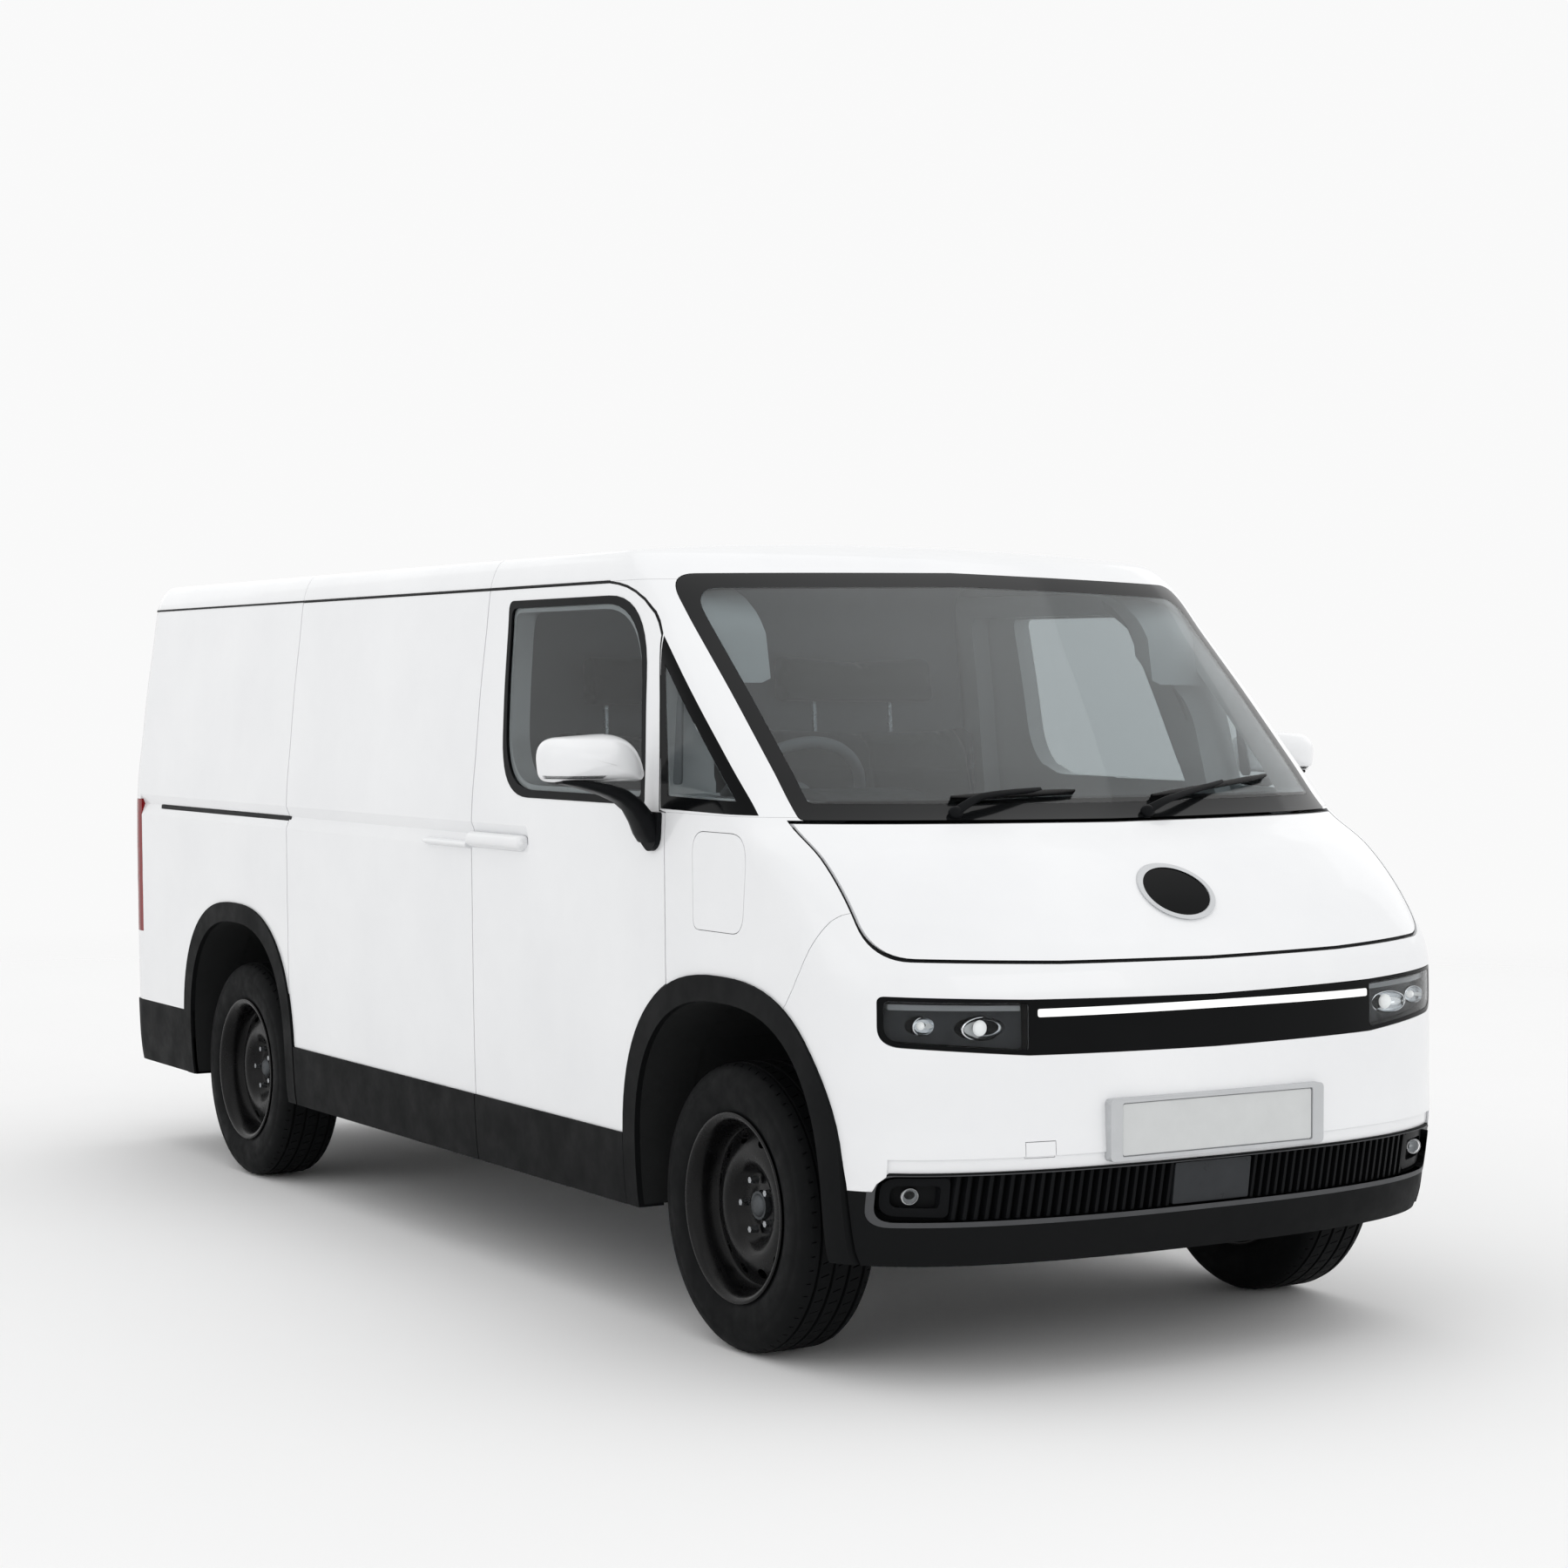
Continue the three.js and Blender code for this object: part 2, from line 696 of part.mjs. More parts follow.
function floorPan() {
  const plate = box(-floorHalf, floorHalf, firewallY, tailY - 75, floorTop - floorDepth, floorTop);
  const firewall = box(-floorHalf - 8, floorHalf + 8, firewallY, firewallY + 30, floorTop - floorDepth, 1040);
  const upper = box(-bonnetSwing, bonnetSwing, firewallY, firewallY + 30, 1000, 1225);
  const screen = frontPrism(windscreenShape(0), ahead, -900);
  const cowl = hull(glassDepth + fit)
    .subtract(hull(90))
    .intersect(screen)
    .intersect(box(-reach, reach, ahead, -900, beltZ - 14, 1224.6))
    .intersect(box(-700, 700, ahead, -900, 0, 2000));
  let pan = join(plate, firewall, upper).intersect(hull(72)).add(cowl);
  const clear = houseEdge + houseWall + fit;
  for (const side of [-1, 1]) {
    pan = pan
      .subtract(frontArch(clear, side * (frontHouseX - houseWall - fit), side * reach))
      .subtract(rearArch(clear, side * (rearHouseX - houseWall - fit), side * reach));
  }
  return pan;
}

function bulkhead() {
  const clear = skin + shutGap + frameDepth + 5;
  return hull(clear, roofSkin + 10).intersect(box(-reach, reach, -290, -264, floorTop + fit, 2000));
}

// ---- Cab ---------------------------------------------------------------------------------
const steeringX = -400;
const wheelHub = [steeringX, -1150, 1189];
const columnTilt = THREE.MathUtils.degToRad(35);

function dashboard() {
  const top = sidePrism(
    rounded([
      [firewallY + 32, 900],
      [-1450, 900, 40],
      [-1360, 1030, 30],
      [-1330, 1110, 30],
      [-1400, 1178, 60],
      [-1560, 1205, 60],
      [firewallY + 32, 1190],
    ]),
    -700,
    700,
  );
  const [x, y, z] = wheelHub;
  const back = (length) => [x, y - length * Math.cos(columnTilt), z - length * Math.sin(columnTilt)];
  return top.intersect(hull(130, 130)).add(rod(back(24), back(330), 28));
}

function steeringWheel() {
  const rimRadius = 188;
  const rim = new THREE.TorusGeometry(rimRadius, 15, 8, 28);
  const hub = new THREE.CylinderGeometry(62, 48, 40, 16);
  hub.rotateX(Math.PI / 2);
  const spokes = [Math.PI / 2, Math.PI / 10, Math.PI - Math.PI / 10].map((angle) => {
    const bar = new THREE.BoxGeometry(rimRadius - 20, 34, 12);
    bar.translate((rimRadius - 20) / 2 + 18, 0, 0);
    bar.rotateZ(angle);
    return toSolid(bar);
  });
  const geometry = toGeometry(join(toSolid(rim), toSolid(hub), ...spokes));
  geometry.rotateX(columnTilt - Math.PI / 2);
  geometry.translate(...wheelHub);
  return toSolid(geometry);
}

// A seat from its side profile: base, cushion, back and head rest, all between x0 and x1.
function seat(x0, x1, restHalf) {
  const base = box(x0 + 40, x1 - 40, -900, -500, floorTop + fit, 790);
  const cushion = sidePrism(
    rounded([
      [-970, 780, 40],
      [-440, 760, 30],
      [-440, 860, 20],
      [-950, 900, 50],
    ]),
    x0,
    x1,
  );
  const back = sidePrism(
    rounded([
      [-560, 850, 20],
      [-430, 790, 30],
      [-310, 1380, 40],
      [-420, 1390, 50],
    ]),
    x0 + 10,
    x1 - 10,
  );
  const middle = (x0 + x1) / 2;
  const rest = sidePrism(
    rounded([
      [-425, 1420, 40],
      [-320, 1420, 40],
      [-310, 1570, 40],
      [-405, 1570, 40],
    ]),
    middle - restHalf,
    middle + restHalf,
  );
  const post = (x) => rod([x, -362, 1370], [x, -362, 1440], 8, 8);
  return join(base, cushion, back, rest, post(middle - restHalf / 2), post(middle + restHalf / 2));
}

// ---- Running gear ------------------------------------------------------------------------
const wheelSides = 24;
const wheelZ = tyreRadius * Math.cos(Math.PI / wheelSides);

function wheelPart(profile, side, axleY) {
  const placed = profile.map(([radius, out]) => [radius, side * (wheelCentreX + out)]);
  if (side < 0) placed.reverse();
  return turnedAboutX(placed, axleY, wheelZ, wheelSides);
}

function tyre(side, axleY) {
  const half = tyreWidth / 2;
  const bead = rimFlangeRadius - 6;
  const rightHalf = [
    [bead, half - 13.5],
    [bead + 9, half - 13.5],
    [bead + 55, half],
    [tyreRadius - 22, half - 9],
    [tyreRadius, half - 30],
  ];
  const leftHalf = [...rightHalf].reverse().map(([radius, out]) => [radius, -out]);
  const profile = [...leftHalf, ...rightHalf].reverse();
  return wheelPart([...profile, profile[0]], side, axleY);
}

function rim(side, axleY) {
  const seatEdge = tyreWidth / 2 - 13;
  const barrel = rimFlangeRadius - 6.5;
  const profile = [
    [rimBoreRadius, 10],
    [140, 28],
    [185, 5],
    [190, -seatEdge - 8],
    [rimFlangeRadius, -seatEdge - 8],
    [barrel, -seatEdge],
    [barrel, seatEdge],
    [rimFlangeRadius, seatEdge + 8],
    [188, seatEdge + 8],
    [184, 40],
    [rimBoreRadius, 30],
  ];
  return wheelPart([...profile, profile[0]], side, axleY);
}

const stubRadius = rimBoreRadius - 2;
const stubEnd = wheelCentreX + 26;

function knuckle(side) {
  const at = (x, y, z) => [side * x, frontAxleY + y, z];
  return join(
    rod(at(575, 0, wheelZ), at(stubEnd, 0, wheelZ), stubRadius),
    rod(at(590, 0, wheelZ), at(640, 0, wheelZ), 68),
    rod(at(578, 0, wheelZ - 70), at(572, 0, 560), 26, 12),
    rod(at(572, 0, 520), at(560, 0, 745), 36, 12),
    rod(at(585, 0, wheelZ - 20), at(550, 125, wheelZ - 30), 14, 8),
  );
}

function frontSubframe() {
  const cross = box(-330, 330, frontAxleY - 170, frontAxleY + 60, 215, 300);
  const arm = (side) => {
    const inner = side * 320;
    const outerX = side * 552;
    return planPrism(
      shapeOf([
        [inner, frontAxleY - 150],
        [outerX, frontAxleY - 30],
        [outerX, frontAxleY + 26],
        [inner, frontAxleY + 50],
      ]),
      219,
      244,
    );
  };
  const rack = rod([-430, frontAxleY + 125, 292], [430, frontAxleY + 125, 292], 24, 12);
  const mounts = [-200, 200].map((x) => box(x - 30, x + 30, frontAxleY + 20, frontAxleY + 130, 250, 290));
  const legs = [-1, 1].map((side) =>
    box(side * 280, side * 330, frontAxleY - 150, frontAxleY - 90, 290, floorTop - floorDepth - fit),
  );
  return join(cross, arm(-1), arm(1), rack, ...mounts, ...legs);
}

function rearAxle() {
  const y = rearAxleY;
  const beam = rod([-585, y, wheelZ], [585, y, wheelZ], 42);
  const stubs = rod([-stubEnd, y, wheelZ], [stubEnd, y, wheelZ], stubRadius);
  const motor = rod([-190, y - 20, wheelZ + 10], [150, y - 20, wheelZ + 10], 132, 24);
  const flanges = [-1, 1].map((side) => rod([side * 575, y, wheelZ], [side * 640, y, wheelZ], 68));
  const springs = [-1, 1].map((side) => {
    const leaf = sidePrism(
      shapeOf([
        [y - 600, 500],
        [y - 590, 545],
        [y - 300, 455],
        [y, 425],
        [y + 300, 455],
        [y + 590, 545],
        [y + 600, 500],
        [y + 300, 415],
        [y, 372],
        [y - 300, 415],
      ]),
      side * 440,
      side * 505,
    );
    return leaf.add(box(side * 435, side * 510, y - 55, y + 55, wheelZ, 395));
  });
  return join(beam, stubs, motor, ...flanges, ...springs);
}

function batteryPack() {
  return box(-520, 520, -980, 690, 235, 425);
}

// ---- Mirrors -----------------------------------------------------------------------------
function mirror(side) {
  const depth = 70;
  const bevel = 22;
  const housing = new THREE.ExtrudeGeometry(
    rounded([
      [side * 872, 1262, 12],
      [side * 1112, 1268, 34],
      [side * 1108, 1352, 40],
      [side * 900, 1352, 50],
    ]),
    { depth, bevelEnabled: true, bevelThickness: bevel, bevelSize: bevel, bevelSegments: 3, curveSegments: 5 },
  );
  housing.rotateX(Math.PI / 2);
  housing.translate(0, -1290 + depth / 2, 0);
  const arm = frontPrism(
    shapeOf([
      [side * (bodyHalfWidth - 6), 1106],
      [side * (bodyHalfWidth + 10), 1104],
      [side * 905, 1150],
      [side * 1010, 1215],
      [side * 1075, 1250],
      [side * 900, 1250],
      [side * (bodyHalfWidth + 6), 1190],
      [side * (bodyHalfWidth - 8), 1185],
    ]),
    -1318,
    -1262,
  );
  return toSolid(housing).add(arm).subtract(hull(-fit));
}

// ---- Assembly ----------------------------------------------------------------------------
const finishes = {
  whitePaint: { color: 0xf2f3f5, roughness: 0.25, metalness: 0 },
  blackPlastic: { color: 0x1b1c1e, roughness: 0.6, metalness: 0 },
  greyTrim: { color: 0x3a3c40, roughness: 0.7, metalness: 0 },
  seatCloth: { color: 0x2c2d30, roughness: 0.9, metalness: 0 },
  glass: { color: 0x55606a, roughness: 0.05, metalness: 0 },
  redLens: { color: 0xb01018, roughness: 0.15, metalness: 0 },
  darkLens: { color: 0x101114, roughness: 0.12, metalness: 0 },
  tyre: { color: 0x161616, roughness: 0.85, metalness: 0 },
  blackSteel: { color: 0x202124, roughness: 0.4, metalness: 0.6 },
  castMetal: { color: 0x5a5d60, roughness: 0.5, metalness: 0.8 },
};
const materials = Object.fromEntries(
  Object.entries(finishes).map(([name, values]) => [name, new THREE.MeshStandardMaterial(values)]),
);

const van = new THREE.Group();
function place(name, solid, finish) {
  const mesh = new THREE.Mesh(toGeometry(whole(solid)), materials[finish]);
  mesh.name = name;
  van.add(mesh);
}

place("roof_panel", roofPanel(), "whitePaint");
place("bonnet", bonnet(), "whitePaint");
place("front_bumper", frontBumper(), "whitePaint");
place("lower_bumper", lowerBumper(), "blackPlastic");
place("rear_bumper", rearBumper(), "blackPlastic");
place("lamp_bar", lampBar(), "darkLens");
place("windscreen", windscreen(), "glass");
place("charge_flap", chargeFlap(), "whitePaint");
place("floor_pan", floorPan(), "blackSteel");
place("bulkhead", bulkhead(), "greyTrim");
place("dashboard", dashboard(), "greyTrim");
place("steering_wheel", steeringWheel(), "greyTrim");
place("driver_seat", seat(-645, -165, 130), "seatCloth");
place("passenger_bench", seat(-120, 680, 250), "seatCloth");
place("battery_pack", batteryPack(), "castMetal");
place("front_subframe", frontSubframe(), "blackSteel");
place("rear_axle", rearAxle(), "blackSteel");

for (const [side, word] of [
  [-1, "right"],
  [1, "left"],
]) {
  place(`body_side_${word}`, bodySide(side), "whitePaint");
  place(`front_wing_${word}`, frontWing(side), "whitePaint");
  place(`front_door_${word}`, frontDoor(side), "whitePaint");
  place(`door_glass_${word}`, doorGlass(side), "glass");
  place(`quarter_glass_${word}`, quarterGlass(side), "glass");
  place(`mirror_${word}`, mirror(side), "blackPlastic");
  place(`sliding_door_${word}`, slidingDoor(side), "whitePaint");
  place(`rear_door_${word}`, rearDoor(side), "whitePaint");
  place(`tail_lamp_${word}`, tailLamp(side), "redLens");
  place(`wheel_house_front_${word}`, wheelHouse(side, frontArch, frontHouseX, 330), "blackPlastic");
  place(`wheel_house_rear_${word}`, wheelHouse(side, rearArch, rearHouseX, 440), "blackPlastic");
  place(`knuckle_${word}`, knuckle(side), "castMetal");
  for (const [end, axleY] of [
    ["front", frontAxleY],
    ["rear", rearAxleY],
  ]) {
    place(`tyre_${end}_${word}`, tyre(side, axleY), "tyre");
    place(`rim_${end}_${word}`, rim(side, axleY), "blackSteel");
  }
}

export default van;
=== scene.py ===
# A narrow electric panel van. Sizes in the dictionaries are millimetres unless a note says otherwise.
# The nose points along -Y, +X is the vehicle's left, and the driver sits on the right, at -X.
import bmesh
import bpy
import json
import math
import numpy as np
from mathutils import Matrix, Vector

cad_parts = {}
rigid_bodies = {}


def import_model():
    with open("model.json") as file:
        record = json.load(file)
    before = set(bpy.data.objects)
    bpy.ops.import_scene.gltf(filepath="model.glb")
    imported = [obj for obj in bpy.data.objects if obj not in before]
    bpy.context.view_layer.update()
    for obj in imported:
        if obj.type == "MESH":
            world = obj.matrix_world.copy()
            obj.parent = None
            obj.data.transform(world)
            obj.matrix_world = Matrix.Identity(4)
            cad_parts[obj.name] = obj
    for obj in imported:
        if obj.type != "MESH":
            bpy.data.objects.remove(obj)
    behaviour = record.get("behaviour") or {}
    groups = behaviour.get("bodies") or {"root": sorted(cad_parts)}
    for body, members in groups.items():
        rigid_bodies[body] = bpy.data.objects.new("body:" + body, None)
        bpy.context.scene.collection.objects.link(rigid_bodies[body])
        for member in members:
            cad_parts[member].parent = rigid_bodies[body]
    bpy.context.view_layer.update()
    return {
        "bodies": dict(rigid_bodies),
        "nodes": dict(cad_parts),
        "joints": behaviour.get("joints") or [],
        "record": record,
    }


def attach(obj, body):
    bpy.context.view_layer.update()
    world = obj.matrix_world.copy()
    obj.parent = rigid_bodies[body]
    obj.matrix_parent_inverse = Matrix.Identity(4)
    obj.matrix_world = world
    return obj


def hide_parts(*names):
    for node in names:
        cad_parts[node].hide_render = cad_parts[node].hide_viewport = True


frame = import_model()
cadNodes = frame["nodes"]
print("frame loaded:", len(cadNodes), "nodes")

sides = {"right": -1, "left": 1}


def linear(code):
    # sRGB hex to linear.
    parts = [int(code[i:i + 2], 16) / 255 for i in (1, 3, 5)]
    return tuple(c / 12.92 if c <= 0.04045 else ((c + 0.055) / 1.055) ** 2.4 for c in parts) + (1.0,)


def addNode(tree, kind, inputs=None, **settings):
    node = tree.nodes.new(kind)
    for key, value in settings.items():
        setattr(node, key, value)
    for key, value in (inputs or {}).items():
        if isinstance(value, bpy.types.NodeSocket):
            tree.links.new(value, node.inputs[key])
        else:
            node.inputs[key].default_value = value
    return node


# colour, second colour and how much of it, roughness and its spread, grain sizes in millimetres
finishes = {
    "whitePaint": dict(slot="white_paint", colour="#f1f2f3", second="#e4e5e7", blotch=420, rough=0.34,
                       roughSpread=0.05, grain=2.2, bump=0.012, coat=0.7, coatRough=0.06),
    "blackPlastic": dict(slot="black_plastic", colour="#0e0f10", second="#141516", blotch=90, rough=0.62,
                         roughSpread=0.10, grain=0.9, bump=0.22, specular=0.08),
    "satinBlack": dict(slot="black_plastic", colour="#0f1011", second="#161719", blotch=60, rough=0.36,
                       roughSpread=0.06, grain=1.6, bump=0.04, specular=0.05),
    "glossBlack": dict(slot="gloss_black", colour="#08090a", second="#0c0d0e", blotch=140, rough=0.12,
                       roughSpread=0.04, grain=4.0, bump=0.006, specular=0.07),
    "screenPrint": dict(slot="gloss_black", colour="#111213", second="#151617", blotch=140, rough=0.10,
                        roughSpread=0.03, grain=4.0, bump=0.004, specular=0.22),
    "greyTrim": dict(slot="grey_trim", colour="#2d2f32", second="#36383b", blotch=70, rough=0.62,
                     roughSpread=0.10, grain=0.8, bump=0.25, specular=0.12),
    # pale grey trim, also put on the steering wheel as a painted highlight
    "paleTrim": dict(slot="grey_trim", colour="#7f8285", second="#8b8e91", blotch=120, rough=0.66,
                     roughSpread=0.08, grain=1.2, bump=0.15),
    "sealRubber": dict(slot="seal_rubber", colour="#0d0e0f", second="#131415", blotch=40, rough=0.52,
                       roughSpread=0.10, grain=0.7, bump=0.15, specular=0.12),
    "tyreRubber": dict(slot="tyre_rubber", colour="#0c0d0e", second="#131415", blotch=45, rough=0.66,
                       roughSpread=0.12, grain=0.8, bump=0.30, specular=0.08),
    "blackSteel": dict(slot="black_steel", colour="#060607", second="#0b0b0c", blotch=50, rough=0.26,
                       roughSpread=0.07, grain=1.8, bump=0.05, specular=0.2),
    "underseal": dict(slot="black_steel", colour="#1b1c1d", second="#292a2a", blotch=110, rough=0.82,
                      roughSpread=0.10, grain=2.6, bump=0.55, specular=0.12),
    "castMetal": dict(slot="cast_metal", colour="#5c5f62", second="#484b4d", blotch=25, rough=0.55,
                      roughSpread=0.12, grain=1.1, bump=0.30, metallic=0.85),
    "brightSteel": dict(slot="bright_steel", colour="#b4b7ba", second="#8f9295", blotch=14, rough=0.30,
                        roughSpread=0.12, grain=0.8, bump=0.08, metallic=1.0),
    "reflector": dict(slot="reflector", colour="#e4e6e8", second="#d0d3d5", blotch=30, rough=0.08,
                      roughSpread=0.04, grain=3.0, bump=0.01, metallic=1.0),
    "silverTrim": dict(slot="silver_trim", colour="#cfd1d3", second="#c1c3c5", blotch=80, rough=0.34,
                       roughSpread=0.06, grain=1.4, bump=0.04, metallic=0.35),
    "lipGrey": dict(slot="grey_trim", colour="#4c4d4f", second="#434446", blotch=60, rough=0.5,
                    roughSpread=0.06, grain=1.2, bump=0.08, specular=0.2),
    "paleSilver": dict(slot="silver_trim", colour="#c3c5c7", second="#b6b8ba", blotch=70, rough=0.36,
                       roughSpread=0.05, grain=1.2, bump=0.03, metallic=0.15),
    "lampGrey": dict(slot="gloss_black", colour="#2b2d2f", second="#35373a", blotch=50, rough=0.32,
                     roughSpread=0.06, grain=2.0, bump=0.04, specular=0.15),
    "mirrorGlass": dict(slot="mirror_glass", colour="#c9cdd0", second="#bdc2c6", blotch=90, rough=0.03,
                        roughSpread=0.02, grain=6.0, bump=0.002, metallic=1.0),
    "plateWhite": dict(slot="plate_white", colour="#cfd1d1", second="#c4c6c6", blotch=60, rough=0.38,
                       roughSpread=0.05, grain=0.6, bump=0.05),
    "redLens": dict(slot="red_lens", colour="#8a0a10", second="#6d070d", blotch=16, rough=0.10,
                    roughSpread=0.03, grain=3.2, bump=0.10, specular=0.12),
    "lightGuide": dict(slot="white_light", colour="#f6f6f4", second="#ebecec", blotch=25, rough=0.25,
                       roughSpread=0.04, grain=3.0, bump=0.03, glow=0.35),
    "lightGuideDim": dict(slot="white_light", colour="#8d9092", second="#7e8183", blotch=25, rough=0.22,
                          roughSpread=0.04, grain=3.0, bump=0.03),
}


def surfaceMaterial(name, slot, colour, second, blotch, rough, roughSpread, grain, bump,
                    metallic=0.0, coat=0.0, coatRough=0.05, glow=0.0, specular=0.5):
    material = bpy.data.materials.new(name)
    material.use_nodes = True
    tree = material.node_tree
    shader = tree.nodes["Principled BSDF"]
    place = addNode(tree, "ShaderNodeTexCoord")
    cloudy = addNode(tree, "ShaderNodeTexNoise", {"Vector": place.outputs["Object"], "Scale": 1000 / blotch,
                                                  "Detail": 4.0, "Roughness": 0.6})
    fine = addNode(tree, "ShaderNodeTexNoise", {"Vector": place.outputs["Object"], "Scale": 1000 / grain,
                                                "Detail": 2.0, "Roughness": 0.5})
    tone = addNode(tree, "ShaderNodeMix", {"Factor": cloudy.outputs["Fac"], 6: linear(colour),
                                           7: linear(second)}, data_type="RGBA")
    gloss = addNode(tree, "ShaderNodeMapRange", {"Value": cloudy.outputs["Fac"], "From Min": 0.3,
                                                 "From Max": 0.7, "To Min": rough - roughSpread,
                                                 "To Max": rough + roughSpread})
    relief = addNode(tree, "ShaderNodeBump", {"Height": fine.outputs["Fac"], "Strength": min(1.0, bump * 2),
                                              "Distance": grain * 0.0002})
    tree.links.new(tone.outputs[2], shader.inputs["Base Color"])
    tree.links.new(gloss.outputs["Result"], shader.inputs["Roughness"])
    tree.links.new(relief.outputs["Normal"], shader.inputs["Normal"])
    shader.inputs["Metallic"].default_value = metallic
    shader.inputs["Coat Weight"].default_value = coat
    shader.inputs["Specular IOR Level"].default_value = specular
    shader.inputs["Coat Roughness"].default_value = coatRough
    if glow:
        shader.inputs["Emission Color"].default_value = linear(colour)
        shader.inputs["Emission Strength"].default_value = glow
    return material


materials = {name: surfaceMaterial(name, **values) for name, values in finishes.items()}
slotOf = {name: values["slot"] for name, values in finishes.items()}

glassFinishes = {
    "windscreenGlass": dict(slot="glass", colour="#c4ccce", ior=1.50, rough=0.0),
    "sideGlass": dict(slot="glass", colour="#bfc4c5", ior=1.22, rough=0.0),
    "lampGlass": dict(slot="clear_lens", colour="#f4f6f7", ior=1.18, rough=0.0),
}


def glassMaterial(name, slot, colour, ior, rough):
    material = bpy.data.materials.new(name)
    material.use_nodes = True
    tree = material.node_tree
    shader = tree.nodes["Principled BSDF"]
    place = addNode(tree, "ShaderNodeTexCoord")
    film = addNode(tree, "ShaderNodeTexNoise",
                   {"Vector": place.outputs["Object"], "Scale": 2.5, "Detail": 3.0})
    haze = addNode(tree, "ShaderNodeMapRange",
                   {"Value": film.outputs["Fac"], "From Min": 0.4, "From Max": 0.8,
                                                "To Min": rough, "To Max": rough + 0.004})
    tree.links.new(haze.outputs["Result"], shader.inputs["Roughness"])
    shader.inputs["Base Color"].default_value = linear(colour)
    shader.inputs["Transmission Weight"].default_value = 1.0
    shader.inputs["IOR"].default_value = ior
    return material


for name, values in glassFinishes.items():
    materials[name] = glassMaterial(name, **values)
    slotOf[name] = values["slot"]


def clothMaterial(name, colour, second, pitch):
    # Woven cloth: two crossed waves and a soft nap, pitch in millimetres.
    material = bpy.data.materials.new(name)
    material.use_nodes = True
    tree = material.node_tree
    shader = tree.nodes["Principled BSDF"]
    place = addNode(tree, "ShaderNodeTexCoord")
    threads = [addNode(tree, "ShaderNodeTexWave", {"Vector": place.outputs["Object"], "Scale": 500 / pitch,
                                                   "Distortion": 0.4, "Detail": 1.0, "Detail Scale": 2.0},
                       bands_direction=direction) for direction in ("X", "Z")]
    weave = addNode(tree, "ShaderNodeMath", {0: threads[0].outputs["Fac"], 1: threads[1].outputs["Fac"]},
                    operation="MULTIPLY")
    nap = addNode(tree, "ShaderNodeTexNoise",
                  {"Vector": place.outputs["Object"], "Scale": 24.0, "Detail": 5.0})
    mixed = addNode(tree, "ShaderNodeMath", {0: weave.outputs[0], 1: nap.outputs["Fac"]},
                    operation="MULTIPLY")
    tone = addNode(tree, "ShaderNodeMix", {"Factor": mixed.outputs[0], 6: linear(colour),
                                           7: linear(second)},
                   data_type="RGBA")
    relief = addNode(tree, "ShaderNodeBump",
                     {"Height": weave.outputs[0], "Strength": 0.5, "Distance": 0.0004})
    tree.links.new(tone.outputs[2], shader.inputs["Base Color"])
    tree.links.new(relief.outputs["Normal"], shader.inputs["Normal"])
    shader.inputs["Roughness"].default_value = 0.88
    shader.inputs["Sheen Weight"].default_value = 0.35
    shader.inputs["Sheen Roughness"].default_value = 0.5
    return material


materials["seatCloth"] = clothMaterial("seatCloth", "#1f2124", "#292b2e", 7.0)
slotOf["seatCloth"] = "seat_cloth"
print("materials ready:", len(materials))


def newMesh(name, points, faces):
    mesh = bpy.data.meshes.new(name)
    mesh.from_pydata([tuple(c / 1000 for c in p) for p in points], [], faces)
    mesh.validate()
    return mesh


scratch = {}
for role in ("base", "tool"):
    scratch[role] = bpy.data.objects.new("scratch" + role, newMesh("empty", [], []))
    bpy.context.scene.collection.objects.link(scratch[role])
scratch["cut"] = scratch["base"].modifiers.new("cut", "BOOLEAN")
scratch["cut"].solver = "MANIFOLD"
scratch["cut"].object = scratch["tool"]


def combine(base, tool, how):
    scratch["base"].data = base
    scratch["tool"].data = tool
    scratch["cut"].operation = how
    graph = bpy.context.evaluated_depsgraph_get()
    graph.update()
    return bpy.data.meshes.new_from_object(scratch["base"].evaluated_get(graph))


def common(*meshes):
    result = meshes[0]
    for mesh in meshes[1:]:
        result = combine(result, mesh, "INTERSECT")
    return result


def less(base, *tools):
    for tool in tools:
        base = combine(base, tool, "DIFFERENCE")
    return base


def joined(*meshes):
    result = meshes[0]
    for mesh in meshes[1:]:
        result = combine(result, mesh, "UNION")
    return result


def area(outline):
    return sum(a[0] * b[1] - b[0] * a[1] for a, b in zip(outline, outline[1:] + outline[:1])) / 2


def prism(outline, low, high, along):
    # A prism along an axis: outlines are (y, z) along x, (x, z) along y and (x, y) along z.
    low, high = min(low, high), max(low, high)
    if (area(outline) > 0) == (along == "y"):
        outline = outline[::-1]
    place = {"x": lambda u, v, w: (w, u, v), "y": lambda u, v, w: (u, w, v),
             "z": lambda u, v, w: (u, v, w)}[along]
    count = len(outline)
    points = [place(u, v, w) for w in (low, high) for u, v in outline]
    faces = [tuple(reversed(range(count))), tuple(range(count, 2 * count))]
    faces += [(i, (i + 1) % count, count + (i + 1) % count, count + i) for i in range(count)]
    return newMesh("prism", points, faces)


def block(x0, x1, y0, y1, z0, z1):
    return prism([(min(x0, x1), y0), (max(x0, x1), y0), (max(x0, x1), y1), (min(x0, x1), y1)], z0, z1, "z")


def rounded(corners, steps=6):
    # An outline whose corners (u, v, radius) are turned into curves.
    outline = []
    for i, corner in enumerate(corners):
        here = Vector(corner[:2])
        radius = corner[2] if len(corner) > 2 else 0
        if radius == 0:
            outline.append(tuple(here))
            continue
        before = here + (Vector(corners[i - 1][:2]) - here).normalized() * radius
        after = here + (Vector(corners[(i + 1) % len(corners)][:2]) - here).normalized() * radius
        for k in range(steps + 1):
            t = k / steps
            outline.append(tuple(before * (1 - t) ** 2 + here * 2 * t * (1 - t) + after * t ** 2))
    return outline


def shifted(outline, du, dv=0.0):
    return [(u + du, v + dv) for u, v in outline]


